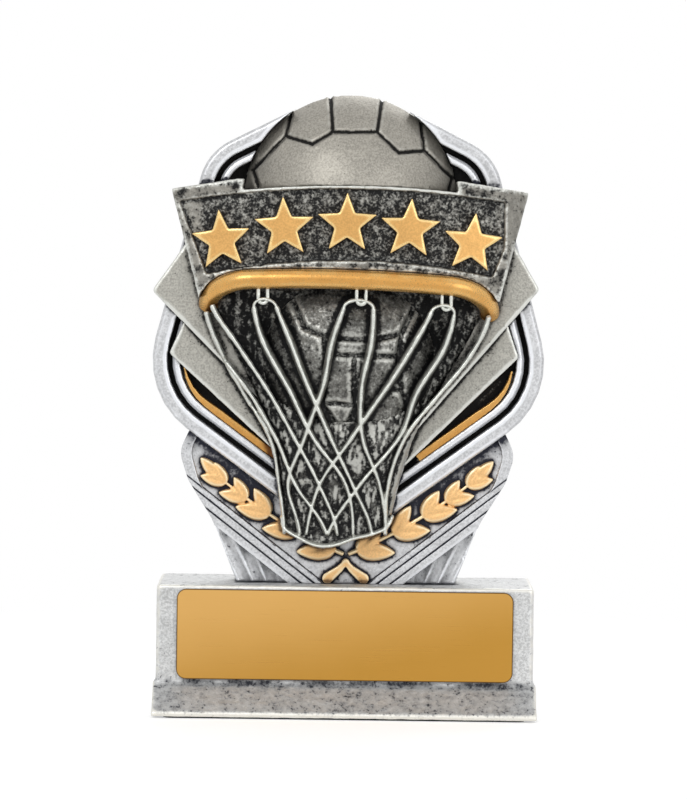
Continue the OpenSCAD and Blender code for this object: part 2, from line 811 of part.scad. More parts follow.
module banner_outline() {
    foot = [banner_foot_w / 2, banner_foot_z];
    corner = [banner_w / 2, banner_top_z + seat_bow * corner_rise_share];
    shoulder = [banner_w / 2 * shoulder_share, banner_top_z + seat_bow * shoulder_rise_share];
    difference() {
        polygon(concat([[-foot.x, foot.y]], hoop_line(1),
            [foot, corner, shoulder, [-shoulder.x, shoulder.y], [-corner.x, corner.y]]));
        hoop_outline();
        translate([0, ball_z]) intersection() {
            circle(ball_r + fit);
            translate([0, -ball_z]) above_seat();
        }
    }
}

// The hoop's outline in the front view, with its clearance
module hoop_outline() {
    polygon(ribbon(hoop_line(0), [for (k = [0 : outline_steps]) hoop_r + hoop_gap]));
}

// The curved block in front of a cylinder of the banner's own plan curve, set back by a distance
module banner_curve(back) {
    translate([0, banner_axis_y, 0])
        cylinder(h = 2 * frame_top_z, r = banner_curve_r - back, $fn = 200);
}

module banner() {
    color("dimgray")
        difference() {
            intersection() {
                union() {
                    relief(upper_y, banner_y) banner_outline();
                    difference() {
                        relief(frame_y, upper_y) banner_outline();
                        relief(frame_y + cut, upper_y) upper_outline();
                    }
                }
                banner_curve(0);
            }
            sunk_field();
            banner_return();
        }
}

// Cuts the sloped return, at 45 degrees from the crease to the right end
module banner_return() {
    crease_y = banner_axis_y - sqrt(banner_curve_r * banner_curve_r - banner_crease_x * banner_crease_x);
    run = banner_return_w + cut;
    linear_extrude(2 * frame_top_z)
        polygon([[banner_crease_x, crease_y], [banner_crease_x + run, crease_y + run],
            [banner_crease_x + run, crease_y - cut], [banner_crease_x, crease_y - cut]]);
}

module sunk_field() {
    difference() {
        relief(upper_y, banner_y - cut)
            intersection() {
                field_outline();
                translate([-banner_w, 0])
                    square([banner_w + banner_crease_x - banner_rim * crease_rim_share, 2 * frame_top_z]);
            }
        banner_curve(banner_sunk);
    }
}

// The field between the rim's two curved lines
module field_outline() {
    half = banner_w / 2 - banner_rim;
    lean = banner_lean_in;
    low = hoop_z + hoop_r + banner_rim * field_low_share;
    high = banner_top_z - banner_rim * field_high_share;
    bow = hoop_drop / 2;
    polygon(concat(
        [for (k = [0 : arc_steps * 2])
            bow_point([-half + lean, low - bow], [half - lean, low - bow], bow, k / (arc_steps * 2))],
        [for (k = [arc_steps * 2 : -1 : 0])
            bow_point([-half, high - bow / 2], [half, high - bow / 2], bow / 2 + seat_bow,
                k / (arc_steps * 2))]));
}

star_inner_share = 0.42;
star_span_share = 0.7;
star_drop_share = 0.59;
star_shift_share = 0.13;
star_tilt = 6;

module star() {
    polygon([for (k = [0 : 9])
        star_r * (k % 2 == 0 ? 1 : star_inner_share) * [sin(36 * k), cos(36 * k)]]);
}

module stars() {
    mid_z = (hoop_z + hoop_r + seat_z + banner_rim) / 2;
    span = banner_w / 2 * star_span_share;
    drop = hoop_drop * star_drop_share;
    color("gold")
        intersection() {
            relief(upper_y, banner_y - star_rise)
                for (k = [0 : star_count - 1]) {
                    t = star_count > 1 ? 2 * k / (star_count - 1) - 1 : 0;
                    translate([span * t - banner_return_w * star_shift_share, mid_z - drop * t * t])
                        rotate(-star_tilt * t)
                            star();
                }
            difference() {
                banner_curve(banner_sunk - star_rise);
                banner_curve(banner_sunk);
            }
        }
}

// The ball: what two shallow caps share, cut along its seat, with seam grooves

function cap_r(edge_r, rise) = (edge_r * edge_r + rise * rise) / (2 * rise);

module front_cap(grow) {
    r = cap_r(ball_r, ball_front);
    translate([0, ball_y + r - ball_front, ball_z]) sphere(r + grow, $fn = 96);
}

module back_cap(grow) {
    r = cap_r(ball_r, ball_back);
    translate([0, ball_y + ball_back - r, ball_z]) sphere(r + grow, $fn = 96);
}

// The ball's lens shape above its seat, grown by a distance
module seated_lens(grow) {
    intersection() {
        front_cap(grow);
        back_cap(grow);
        relief(panel_back_y + cut, banner_y - cut) above_seat();
    }
}

seam_shares = [
    [[-0.83, 0.02], [-0.86, 0.13], [-0.92, 0.29], [-0.61, 0.61], [-0.36, 0.535], [-0.17, 0.65],
        [0.24, 0.655], [0.445, 0.465], [0.68, 0.49], [0.955, 0.24], [0.9, 0.02]],
    [[-0.17, 0.65], [-0.2, 1]], [[0.24, 0.655], [0.29, 1]], [[-0.61, 0.61], [-0.56, 0.9]],
    [[0.68, 0.49], [0.65, 0.8]]];

// Cuts one seam's path, deeper than the ball's front by the seam depth
module seam(shares) {
    difference() {
        relief(ball_y - ball_front / 4, banner_y - 2 * cut)
            translate([0, ball_z])
                polygon(ribbon(shares * ball_r, [for (s = shares) seam_w / 2]));
        front_cap(-seam_depth);
    }
}

module ball() {
    color("darkgray")
        difference() {
            seated_lens(0);
            for (s = seam_shares)
                seam(s);
        }
}

// The net: a core with the relief's dark ground, the ball that drops through it, and the strands

// Stations from the ties (0) to the hem (1): width beyond the hem's, depth, and depth of the core
net_width_shares = [1, 0.763, 0.464, 0.203, 0.076, 0];
net_depth_shares = [1, 0.96, 0.89, 0.76, 0.58, 0.42];
core_depth_shares = [0.1, 0.16, 0.34, 0.62, 0.6, 0.4];

function net_mid_x(u) = -hem_shift * u * u;
function net_half(u) = hem_w / 2 + smooth(net_width_shares, u) * (hoop_half * net_top_share - hem_w / 2);
function net_depth(u) = smooth(net_depth_shares, u) * net_reach;
function core_depth(u) = min(smooth(core_depth_shares, u) * net_reach, net_depth(u) - strand_proud);

// The net's outline seen from above is squarer under the hoop than at the hem
function net_side(s, u) = let (e = 2 + 2 * max(0, 1 - u) * max(0, 1 - u))
    pow(max(0, 1 - pow(min(abs(s), 1), e)), 1 / e);

// Height of the strands' upper ends, just under the hoop
function net_top(s) = hoop_above(s * hoop_half).z - hoop_r * hoop_under_share - strand_r;
hoop_under_share = 1.12;

// A point on the net: s from -1 at its left edge to 1 at its right edge, u from the ties to the hem
function net_point(s, u) = [net_mid_x(u) + s * net_half(u),
    upper_y - strand_r - net_side(s, u) * (net_depth(u) - strand_r), net_top(s) * (1 - u) + hem_z * u];

// The root of a strand's web, sunk in the core but in front of the plate behind it
function root_point(s, u) = let (p = net_point(s, u))
    [p.x, min(upper_y - net_side(s, u) * core_depth(u) + strand_d, upper_y - root_r), p.z];

// Each strand as its sideways place at six even stations from tie to hem
strand_shares = [
    [-0.67, -0.69, -0.59, -0.41, 0.12, 0.34], [-0.53, -0.47, -0.38, -0.17, 0.23, 0.69],
    [-0.01, -0.13, -0.25, -0.53, -0.84, -0.64], [0.17, 0.19, 0.16, 0.27, 0.67, 0.94],
    [0.6, 0.53, 0.39, 0.11, -0.33, -0.52], [0.74, 0.78, 0.73, 0.74, 0.31, -0.12],
    [-0.95, -0.89, -0.81, -0.67, -0.32, 0.05], [-0.99, -1, -0.97, -0.91, -0.71, -0.15],
    [0.97, 0.97, 0.92, 0.82, 0.79, 0.93], [-0.99, -1, -1, -0.98, -0.98, -0.93]];
tie_shares = [-0.6, 0.08, 0.67];
strand_steps = 12;
hem_shares = [[-0.98, 0.93], [-0.93, 0.98], [-0.64, 1.02], [-0.3, 1.05], [0.05, 1.045], [0.34, 1.02],
    [0.69, 1], [0.94, 0.97], [0.99, 0.92]];
root_share = 0.75;
root_r = strand_r * root_share;
dome_facets = 72;

module bead(p, r) {
    translate(p) sphere(r, $fn = 8);
}

// A length of strand with the web that joins it to the core behind it
module strand_piece(a, b) {
    hull() {
        bead(net_point(a[0], a[1]), strand_r);
        bead(net_point(b[0], b[1]), strand_r);
        bead(root_point(a[0], a[1]), root_r);
        bead(root_point(b[0], b[1]), root_r);
    }
}

module strands() {
    for (s = strand_shares, k = [1 : strand_steps])
        strand_piece([smooth(s, (k - 1) / strand_steps), (k - 1) / strand_steps],
            [smooth(s, k / strand_steps), k / strand_steps]);
    for (k = [1 : len(hem_shares) - 1])
        strand_piece(hem_shares[k - 1], hem_shares[k]);
}

module net() {
    color("silver")
        difference() {
            strands();
            core_body();
            net_dome(0, dome_facets);
            hoop_tube(hoop_r);
        }
}

core_steps = 12;
core_sides = 10;
core_end_share = 1.08;

// One level slice of the core: straight back to the field, and an arch in front
module core_slice(u) {
    w = net_half(u) - strand_r / 2;
    translate([net_mid_x(u), 0, net_top_z * (1 - u) + hem_z * u])
        linear_extrude(slab)
            polygon(concat([[w, field_y], [w, upper_y]],
                [for (k = [1 : core_sides - 1]) let (s = cos(180 * k / core_sides))
                    [w * s, upper_y - core_depth(u) * net_side(s, u)]],
                [[-w, upper_y], [-w, field_y]]));
}

// The core's front view outline: the hoop above and the hem below
module net_outline() {
    difference() {
        polygon(concat(hoop_line(0), [for (k = [len(hem_shares) - 1 : -1 : 0])
            let (p = net_point(hem_shares[k][0], hem_shares[k][1]))
                [p.x + strand_r / 6, p.z + strand_r / 4]]));
        hoop_outline();
    }
}

module core_body() {
    intersection() {
        for (k = [1 : core_steps])
            hull() {
                core_slice((k - 1) / core_steps * core_end_share);
                core_slice(k / core_steps * core_end_share);
            }
        relief(field_y, upper_y - net_reach) net_outline();
    }
}

// All that the net and its core lie against
module around_net() {
    hoop_tube(hoop_r);
    lower_plate();
    upper_plate();
    band(0, outer_band_w, frame_y);
    band(outer_band_w + groove_w, inner_band_w, inner_y);
    stripe();
    mirror([1, 0, 0]) stripe();
    spray();
    mirror([1, 0, 0]) spray();
    laurel_stalks();
    laurel_shield();
}

module net_core() {
    color("darkslategray")
        difference() {
            core_body();
            around_net();
            relief(field_y + cut, upper_y) upper_outline();
            intersection() {
                net_dome(fit, dome_facets);
                relief(floor_y, upper_y - net_reach)
                    translate([0, net_ball_z]) circle(net_ball_d);
            }
        }
}

// The cap of the ball inside the net, on the core's floor
module net_dome(gap, facets) {
    r = cap_r(net_ball_d / 2, net_ball_front);
    translate([0, upper_y - net_ball_front + r, net_ball_z])
        sphere(r + gap, $fn = facets);
}

module net_ball() {
    color("slategray")
        intersection() {
            net_dome(0, 2 * dome_facets);
            relief(floor_y, upper_y - net_reach)
                intersection() {
                    translate([0, net_ball_z]) circle(net_ball_d);
                    upper_outline();
                }
        }
}

// Small loops under the hoop that hold the net
module net_ties() {
    color("silver")
        for (s = tie_shares)
            translate(hoop_above(net_point(s, 0).x) - [0, 0, hoop_r + hoop_gap / 2])
                tie();
}

// A loop that hangs from the origin
module tie() {
    r = (tie_w - tie_d) / 2;
    leg = tie_h - tie_w / 2;
    translate([0, 0, -leg])
        rotate([90, 0, 0])
            rotate([0, 0, 180])
                rotate_extrude(angle = 180, $fn = 24)
                    translate([r, 0]) circle(tie_d / 2, $fn = 16);
    for (side = [-1, 1])
        rod([side * r, 0, -leg], [side * r, 0, 0], tie_d / 2, $fn = 16);
}

plinth();
felt_pad();
plate_tape();
engraving_plate();
upright_panel();
fluted_stem();
laurel_shield();
laurel_left();
laurel_right();
laurel_stalks();
outer_frame();
inner_frame();
gold_stripe_left();
gold_stripe_right();
lower_plate();
upper_plate();
banner();
stars();
ball();
hoop();
net_ball();
net_core();
net();
net_ties();
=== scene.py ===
import math
from types import SimpleNamespace
import bmesh
import bpy
import numpy as np
from mathutils import Matrix, Vector
from mathutils.bvhtree import BVHTree


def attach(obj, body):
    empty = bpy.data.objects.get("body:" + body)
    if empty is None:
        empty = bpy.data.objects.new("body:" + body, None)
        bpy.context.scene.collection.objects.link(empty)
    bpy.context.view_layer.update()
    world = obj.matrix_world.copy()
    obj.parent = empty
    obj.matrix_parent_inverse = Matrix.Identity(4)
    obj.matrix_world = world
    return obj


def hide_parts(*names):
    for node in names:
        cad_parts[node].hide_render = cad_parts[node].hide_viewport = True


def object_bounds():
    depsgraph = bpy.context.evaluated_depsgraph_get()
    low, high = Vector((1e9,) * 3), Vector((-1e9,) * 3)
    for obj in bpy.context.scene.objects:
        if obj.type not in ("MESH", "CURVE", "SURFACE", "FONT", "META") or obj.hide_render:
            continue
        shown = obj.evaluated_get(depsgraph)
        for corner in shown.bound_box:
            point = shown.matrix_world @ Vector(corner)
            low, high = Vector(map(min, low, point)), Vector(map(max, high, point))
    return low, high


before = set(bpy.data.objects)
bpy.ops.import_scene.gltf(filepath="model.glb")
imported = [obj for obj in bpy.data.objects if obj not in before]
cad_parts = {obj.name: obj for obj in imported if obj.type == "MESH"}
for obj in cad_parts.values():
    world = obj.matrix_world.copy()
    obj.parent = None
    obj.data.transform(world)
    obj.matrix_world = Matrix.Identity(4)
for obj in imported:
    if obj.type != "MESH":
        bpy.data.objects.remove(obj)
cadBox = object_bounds()
scene = bpy.context.scene
mm = 0.001

# Camera, matched to the photograph

cameraView = {
    "distance": 1000,      # in mm, in front of the world's middle
    "side": -0.9,
    "height": 112,
    "aimHeight": 65.6,
    "roll": 0.75,          # degrees, picture turned clockwise
    "lens": 214.65,
}


def makeCamera(view):
    data = bpy.data.cameras.new("photoCamera")
    data.lens = view["lens"]
    data.sensor_width = 36
    data.clip_end = 50
    camera = bpy.data.objects.new("photoCamera", data)
    scene.collection.objects.link(camera)
    eye = Vector((view["side"], -view["distance"], view["height"])) * mm
    aim = Vector((view["side"], 0, view["aimHeight"])) * mm
    look = (aim - eye).normalized()
    level = look.cross(Vector((0, 0, 1))).normalized()
    upright = level.cross(look)
    roll = math.radians(view["roll"])
    right = level * math.cos(roll) + upright * math.sin(roll)
    up = upright * math.cos(roll) - level * math.sin(roll)
    turn = Matrix((right, up, -look)).transposed().to_4x4()
    camera.matrix_world = Matrix.Translation(eye) @ turn
    scene.camera = camera


makeCamera(cameraView)
print("camera placed")

# Node helpers


def addNode(tree, kind, **settings):
    node = tree.nodes.new(kind)
    for key, value in settings.items():
        setattr(node, key, value)
    return node


def feed(tree, node, values):
    # each value is an output socket to link or a fixed value
    for name, value in values.items():
        socket = node.inputs[name]
        if isinstance(value, bpy.types.NodeSocket):
            tree.links.new(value, socket)
        elif socket.type == "RGBA" and len(value) == 3:
            socket.default_value = (*value, 1)
        else:
            socket.default_value = value
    return node


def calc(tree, operation, *values, clamp=False):
    node = addNode(tree, "ShaderNodeMath", operation=operation, use_clamp=clamp)
    return feed(tree, node, dict(enumerate(values))).outputs[0]


def times(tree, *factors):
    product = factors[-1]
    for factor in reversed(factors[:-1]):
        product = calc(tree, "MULTIPLY", factor, product)
    return product


def addUp(tree, *terms, clamp=False):
    # each term is a value or a tuple of factors
    values = [times(tree, *term) if isinstance(term, tuple) else term for term in terms]
    total = values[0]
    for value in values[1:-1]:
        total = calc(tree, "ADD", total, value)
    return calc(tree, "ADD", total, values[-1], clamp=clamp)


def fade(tree, value, low, high):
    node = addNode(tree, "ShaderNodeMapRange", interpolation_type="SMOOTHSTEP")
    feed(tree, node, {"Value": value, "From Min": low, "From Max": high})
    return node.outputs["Result"]


def mixColors(tree, share, first, second, blend="MIX"):
    # the node's colour sockets are numbers 6 and 7 in, and 2 out
    node = addNode(tree, "ShaderNodeMix", data_type="RGBA", blend_type=blend)
    feed(tree, node, {0: share, 6: first, 7: second})
    return node.outputs[2]


def grain(tree, place, scale, detail=2.0, roughness=0.6):
    node = addNode(tree, "ShaderNodeTexNoise")
    feed(tree, node, {"Vector": place, "Scale": scale, "Detail": detail, "Roughness": roughness})
    return node.outputs["Fac"]


def objectPlace(tree):
    return addNode(tree, "ShaderNodeTexCoord").outputs["Object"]


def paint(red, green, blue):
    # a colour as it is read off a picture, from 0 to 255, made linear
    shares = [part / 255 for part in (red, green, blue)]
    return tuple(((share + 0.055) / 1.055) ** 2.4 if share > 0.0404 else share / 12.92 for share in shares)


# The shader group of painted castings: silver or gold, dark wash in the depths that also paints their shade,
# rubbed edges that also paint their highlights

castPaintRule = {
    "coarse": 0.37, "broad": 210,              # noise scales: a share of the fine noise's, and per metre
    "swing": 0.8,                              # the coarse noise's weight beside the fine one's
    "grit": (0.34, 0.66), "gritTone": 0.55,    # where fine noise turns to grit, and its weight in the tone
    "pitMix": (0.45, 0.55), "pits": (0.56, 0.72), "pitWash": 0.38,
    "washshade": (0.12, 0.72), "polishglint": (0.15, 0.8), "polishSwing": -0.8,
    "washRough": 0.28, "fineRough": 0.2, "polishRough": -0.08, "height": (0.5, 0.9),
}


def buildCastPaint(rule):
    group = bpy.data.node_groups.new("castPaint", "ShaderNodeTree")
    sockets = [("INPUT", "NodeSocketColor", ["Paint", "Washshade", "Polishglint"]),
               ("INPUT", "NodeSocketFloat", ["Deep", "Rubglint", "Wash Amount", "Polish Amount", "Speckle",
                                             "Speckle Scale", "Mottle", "Paint Roughness"]),
               ("OUTPUT", "NodeSocketColor", ["Color"]),
               ("OUTPUT", "NodeSocketFloat", ["Roughness", "Height"])]
    for side, kind, names in sockets:
        for name in names:
            group.interface.new_socket(name=name, in_out=side, socket_type=kind)
    given = addNode(group, "NodeGroupInput").outputs
    speckle, mottle, scale = given["Speckle"], given["Mottle"], given["Speckle Scale"]
    place = objectPlace(group)
    fine = grain(group, place, scale)
    coarse = grain(group, place, times(group, scale, rule["coarse"]), 3)
    broad = grain(group, place, rule["broad"], 3)
    fineSwing, coarseSwing, broadSwing = (addUp(group, noise, -0.5) for noise in (fine, coarse, broad))
    swing = addUp(group, fineSwing, (coarseSwing, rule["swing"]))
    grit = addUp(group, fade(group, fine, *rule["grit"]), -0.5)
    pits = fade(group, addUp(group, (fine, rule["pitMix"][0]), (coarse, rule["pitMix"][1])), *rule["pits"])
    # the wash colour is antique wash and painted shade in one, the polish colour is rubbed silver and painted
    # highlight in one
    washLevel = addUp(group, (given["Deep"], given["Wash Amount"]), (swing, speckle), (broadSwing, mottle),
                      (pits, speckle, rule["pitWash"]))
    polishLevel = addUp(group, (given["Rubglint"], given["Polish Amount"]), (swing, speckle, rule["polishSwing"]))
    washshade = fade(group, washLevel, *rule["washshade"])
    polishglint = fade(group, polishLevel, *rule["polishglint"])
    tone = addUp(group, 1, (broadSwing, mottle), (grit, speckle, rule["gritTone"]))
    tinted = mixColors(group, 1, given["Paint"], tone, "MULTIPLY")
    washed = mixColors(group, washshade, tinted, given["Washshade"])
    rough = addUp(group, given["Paint Roughness"], (washshade, rule["washRough"]), (fineSwing, rule["fineRough"]),
                  (polishglint, rule["polishRough"]), clamp=True)
    feed(group, addNode(group, "NodeGroupOutput"), {
        "Color": mixColors(group, polishglint, washed, given["Polishglint"]), "Roughness": rough,
        "Height": addUp(group, (fine, rule["height"][0]), (coarse, rule["height"][1]))})
    return group


castPaint = buildCastPaint(castPaintRule)

# One row for each coat: three colours, the slot, how strong wash and rubbing are, speckle and shine. The wash
# colour paints shade as well as antique wash, the polish colour paints highlights as well as rubbed silver
silver, antique, dark, gold = "bright_silver_paint", "antique_silver_paint", "dark_wash_paint", "gold_paint"
lookKeys = ("paint", "washshade", "polishglint", "slot", "washAmount", "polishAmount", "speckle", "scale", "mottle",
            "roughness", "metallic", "bump")
looks = {
    "plinthSilver": ((203, 204, 204), (44, 46, 54), (238, 236, 228), silver,
                     1.0, 0.8, 0.72, 1900, 0.5, 0.42, 0.5, 0.35),
    "brightSilver": ((204, 205, 207), (30, 33, 46), (240, 242, 246), silver,
                     1.0, 0.9, 0.6, 2100, 0.35, 0.4, 0.5, 0.3),
    "antiqueSilver": ((174, 172, 164), (26, 25, 24), (222, 223, 217), antique,
                      0.9, 1.0, 0.8, 2300, 0.35, 0.4, 0.5, 0.35),
    "ballSilver": ((159, 155, 146), (24, 23, 21), (212, 213, 206), antique,
                   1.1, 0.6, 0.75, 2500, 0.35, 0.45, 0.6, 0.3),
    "strandSilver": ((148, 147, 140), (12, 12, 12), (216, 218, 211), antique,
                     1.5, 1.2, 0.8, 2300, 0.4, 0.38, 0.55, 0.35),
    "bannerSilver": ((150, 147, 139), (17, 17, 18), (214, 215, 209), dark,
                     1.0, 1.0, 1.0, 2000, 0.5, 0.42, 0.5, 0.5),
    "darkWash": ((84, 83, 79), (9, 9, 10), (182, 182, 176), dark,
                 0.9, 1.4, 1.3, 1900, 0.7, 0.42, 0.5, 0.6),
    "hoopGold": ((206, 151, 77), (110, 66, 24), (238, 199, 128), gold,
                 0.8, 0.3, 0.3, 2500, 0.25, 0.31, 0.65, 0.15),
    "starGold": ((214, 165, 97), (84, 54, 26), (242, 208, 142), gold,
                 0.7, 0.7, 0.32, 2500, 0.2, 0.36, 0.6, 0.15),
    "laurelGold": ((240, 193, 131), (96, 70, 46), (250, 226, 182), gold,
                   0.5, 0.8, 0.32, 2500, 0.15, 0.42, 0.45, 0.12),
}
looks = {name: dict(zip(lookKeys, row)) for name, row in looks.items()}
bumpDepth = {"paint": 0.25, "plate": 0.05, "felt": 0.3, "tape": 0.1}   # in mm


def newMaterial(name):
    material = bpy.data.materials.new(name)
    material.use_nodes = True
    material.node_tree.nodes.clear()
    return material, material.node_tree


def closeMaterial(tree, bump, inputs):
    # bump is its strength, its depth in mm and its height; inputs go to the shader
    relief = addNode(tree, "ShaderNodeBump")
    feed(tree, relief, {"Strength": bump[0], "Distance": bump[1] * mm, "Height": bump[2]})
    shader = addNode(tree, "ShaderNodeBsdfPrincipled")
    feed(tree, shader, {**inputs, "Normal": relief.outputs["Normal"]})
    feed(tree, addNode(tree, "ShaderNodeOutputMaterial"), {"Surface": shader.outputs["BSDF"]})


def paintMaterial(name, look):
    material, tree = newMaterial(name)
    group = addNode(tree, "ShaderNodeGroup", node_tree=castPaint)
    feed(tree, group, {color: paint(*look[color.lower()]) for color in ("Paint", "Washshade", "Polishglint")})
    for layer in ("Deep", "Rubglint"):
        worn = addNode(tree, "ShaderNodeAttribute", attribute_name=layer.lower())
        feed(tree, group, {layer: worn.outputs["Fac"]})
    feed(tree, group, {
        "Wash Amount": look["washAmount"], "Polish Amount": look["polishAmount"], "Speckle": look["speckle"],
        "Speckle Scale": look["scale"], "Mottle": look["mottle"], "Paint Roughness": look["roughness"]})
    closeMaterial(tree, (look["bump"], bumpDepth["paint"], group.outputs["Height"]),
                  {"Base Color": group.outputs["Color"], "Roughness": group.outputs["Roughness"],
                   "Metallic": look["metallic"]})
    return material


paints = {name: paintMaterial(name, look) for name, look in looks.items()}

# light and dark are painted light and shade across the sheet; edge is a painted shadow line round it and also
# the dark of its brushing
plateLook = {
    "light": (221, 172, 98), "dark": (191, 141, 57), "edge": (70, 48, 22), "roughness": 0.3, "metallic": 0.75,
    "across": 8, "down": -36, "tint": (-1.156, -0.236), "cloud": 60, "cloudTint": 0.2,
    "brush": (30, 1, 5200), "brushTint": 0.12, "brushRough": 0.14, "bump": 0.05,
    "height": 0.01705, "back": (-0.0116, -0.01145), "straight": (0.033, 0.0074), "corner": (0.0017, 0.00195),
}


def plateMaterial(look):
    # anodised sheet: painted light and shade from corner to corner, fine brushing across, painted shadow
    # along the edge
    material, tree = newMaterial("goldPlate")
    place = objectPlace(tree)
    split = feed(tree, addNode(tree, "ShaderNodeSeparateXYZ"), {"Vector": place}).outputs
    # painted light: the sheet lighter towards its upper left and darker towards its lower right
    lightFall = addUp(tree, (split["X"], look["across"]), (split["Z"], look["down"]))
    stretch = addNode(tree, "ShaderNodeMapping")
    feed(tree, stretch, {"Vector": place, "Scale": look["brush"]})
    brushing = grain(tree, stretch.outputs["Vector"], 1.0)
    brushSwing = addUp(tree, brushing, -0.5)
    cloud = addUp(tree, grain(tree, place, look["cloud"], roughness=0.55), -0.5)
    share = addUp(tree, fade(tree, lightFall, *look["tint"]), (cloud, look["cloudTint"]), clamp=True)
    light, shade, edge = (paint(*look[tint]) for tint in ("light", "dark", "edge"))
    color = mixColors(tree, share, light, shade)
    color = mixColors(tree, calc(tree, "ABSOLUTE", times(tree, brushSwing, look["brushTint"])), color, edge)
    past = []   # how far a point lies past the straight part of an edge, sideways and upwards
    for value, half in zip((split["X"], addUp(tree, split["Z"], -look["height"])), look["straight"]):
        past.append(calc(tree, "MAXIMUM", addUp(tree, calc(tree, "ABSOLUTE", value), -half), 0))
    corner = calc(tree, "SQRT", addUp(tree, (past[0], past[0]), (past[1], past[1])))
    # painted shadow in the edge colour on the sheet's sides and round its corners
    back = fade(tree, split["Y"], *look["back"])
    color = mixColors(tree, calc(tree, "MAXIMUM", back, fade(tree, corner, *look["corner"])), color, edge)
    closeMaterial(tree, (look["bump"], bumpDepth["plate"], brushing), {
        "Base Color": color, "Roughness": addUp(tree, look["roughness"], (brushSwing, look["brushRough"])),
        "Metallic": look["metallic"]})
    return material


feltLook = {"low": (22, 26, 27), "high": (52, 58, 58), "fibres": (3200, 4, 0.7), "clumps": (500, 3, 0.6),
            "clumpShare": 0.5, "fade": (0.5, 1.0), "roughness": 0.8, "fibreRough": 0.15, "sheen": 0.3,
            "bump": 0.6}


def feltMaterial(look):
    material, tree = newMaterial("darkFelt")
    place = objectPlace(tree)
    fibres = grain(tree, place, *look["fibres"])
    clumps = grain(tree, place, *look["clumps"])
    share = fade(tree, addUp(tree, fibres, (clumps, look["clumpShare"])), *look["fade"])
    closeMaterial(tree, (look["bump"], bumpDepth["felt"], fibres), {
        "Base Color": mixColors(tree, share, paint(*look["low"]), paint(*look["high"])),
        "Roughness": addUp(tree, look["roughness"], (fibres, look["fibreRough"])),
        "Sheen Weight": look["sheen"]})
    return material


tapeLook = {"low": (205, 205, 200), "high": (232, 232, 228), "cells": 5200, "roughness": 0.6,
            "cellRough": 0.2, "bump": 0.4}


def tapeMaterial(look):
    material, tree = newMaterial("foamTape")
    cells = addNode(tree, "ShaderNodeTexVoronoi")
    away = feed(tree, cells, {"Vector": objectPlace(tree), "Scale": look["cells"]}).outputs["Distance"]
    closeMaterial(tree, (look["bump"], bumpDepth["tape"], away), {
        "Base Color": mixColors(tree, away, paint(*look["low"]), paint(*look["high"])),
        "Roughness": addUp(tree, look["roughness"], (away, look["cellRough"]))})
    return material


goldPlate = plateMaterial(plateLook)
darkFelt = feltMaterial(feltLook)
foamTape = tapeMaterial(tapeLook)
print("materials built:", len(bpy.data.materials))

# Mesh helpers

weldGap = 2e-6   # in metres


def addObject(name, mesh):
    made = bpy.data.objects.new(name, mesh)
    scene.collection.objects.link(made)
    return made


def objectFrom(work, name):
    mesh = bpy.data.meshes.new(name)
    work.to_mesh(mesh)
    work.free()
    return addObject(name, mesh)


def nodeCopy(node, name):
    # a CAD node's mesh as an object of its own, its loose triangles joined
    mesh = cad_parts[node].data.copy()
    mesh.name = name
    mesh.materials.clear()
    work = bmesh.new()
    work.from_mesh(mesh)
    bmesh.ops.remove_doubles(work, verts=work.verts, dist=weldGap)
    work.to_mesh(mesh)
    work.free()
    return addObject(name, mesh)


def settle(piece):
    # the live modifiers' result becomes the piece's plain mesh
    graph = bpy.context.evaluated_depsgraph_get()
    mesh = bpy.data.meshes.new_from_object(
        piece.evaluated_get(graph), preserve_all_data_layers=True, depsgraph=graph)
    piece.modifiers.clear()
    piece.data = mesh
    return piece


def castOver(piece, voxel, rounds):
    # one closed skin with softened edges, as a casting has
    skin = piece.modifiers.new("castSkin", "REMESH")
    skin.mode = "VOXEL"
    skin.voxel_size = voxel * mm
    skin.use_smooth_shade = True
    if rounds:
        soft = piece.modifiers.new("softEdges", "SMOOTH")
        soft.factor = 0.5
        soft.iterations = rounds
    return settle(piece)


def meshPoints(mesh):
    points = np.empty(len(mesh.vertices) * 3, np.float32)
    mesh.vertices.foreach_get("co", points)
    return points.reshape(-1, 3).astype(float)


def meshNormals(mesh):
    normals = np.empty(len(mesh.vertices) * 3, np.float32)
    mesh.vertex_normals.foreach_get("vector", normals)
    return normals.reshape(-1, 3).astype(float)


def putPoints(mesh, points):
    mesh.vertices.foreach_set("co", points.astype(np.float32).ravel())
    mesh.update()


def putValues(mesh, name, values):
    layer = mesh.attributes.get(name) or mesh.attributes.new(name, "FLOAT", "POINT")
    layer.data.foreach_set("value", values.astype(np.float32))


def latticeNoise(points, size, seed):
    # smooth noise from -1 to 1, with lumps of the given size in mm
    spot = points / (size * mm) + seed * 7.31
    low = np.floor(spot).astype(np.int64)
    part = spot - low
    part = part * part * (3 - 2 * part)
    total = np.zeros(len(points))
    for corner in range(8):
        step = np.array([corner & 1, corner >> 1 & 1, corner >> 2 & 1])
        cell = (low + step).astype(np.uint32)
        code = (cell * np.array([374761393, 668265263, 2246822519], np.uint32)).sum(1, dtype=np.uint32)
        code = (code ^ (code >> np.uint32(13))) * np.uint32(1274126177)
        code = code ^ (code >> np.uint32(16))
        share = np.prod(np.where(step == 1, part, 1 - part), axis=1)
        total += share * (code / 2147483647.5 - 1)
    return total


def roughen(piece, lumps):
    # lumps is a list of sizes and depths in mm
    points = meshPoints(piece.data)
    normals = meshNormals(piece.data)
    move = sum(latticeNoise(points, size, k + 1) * depth for k, (size, depth) in enumerate(lumps))
    putPoints(piece.data, points + normals * (move * mm)[:, None])


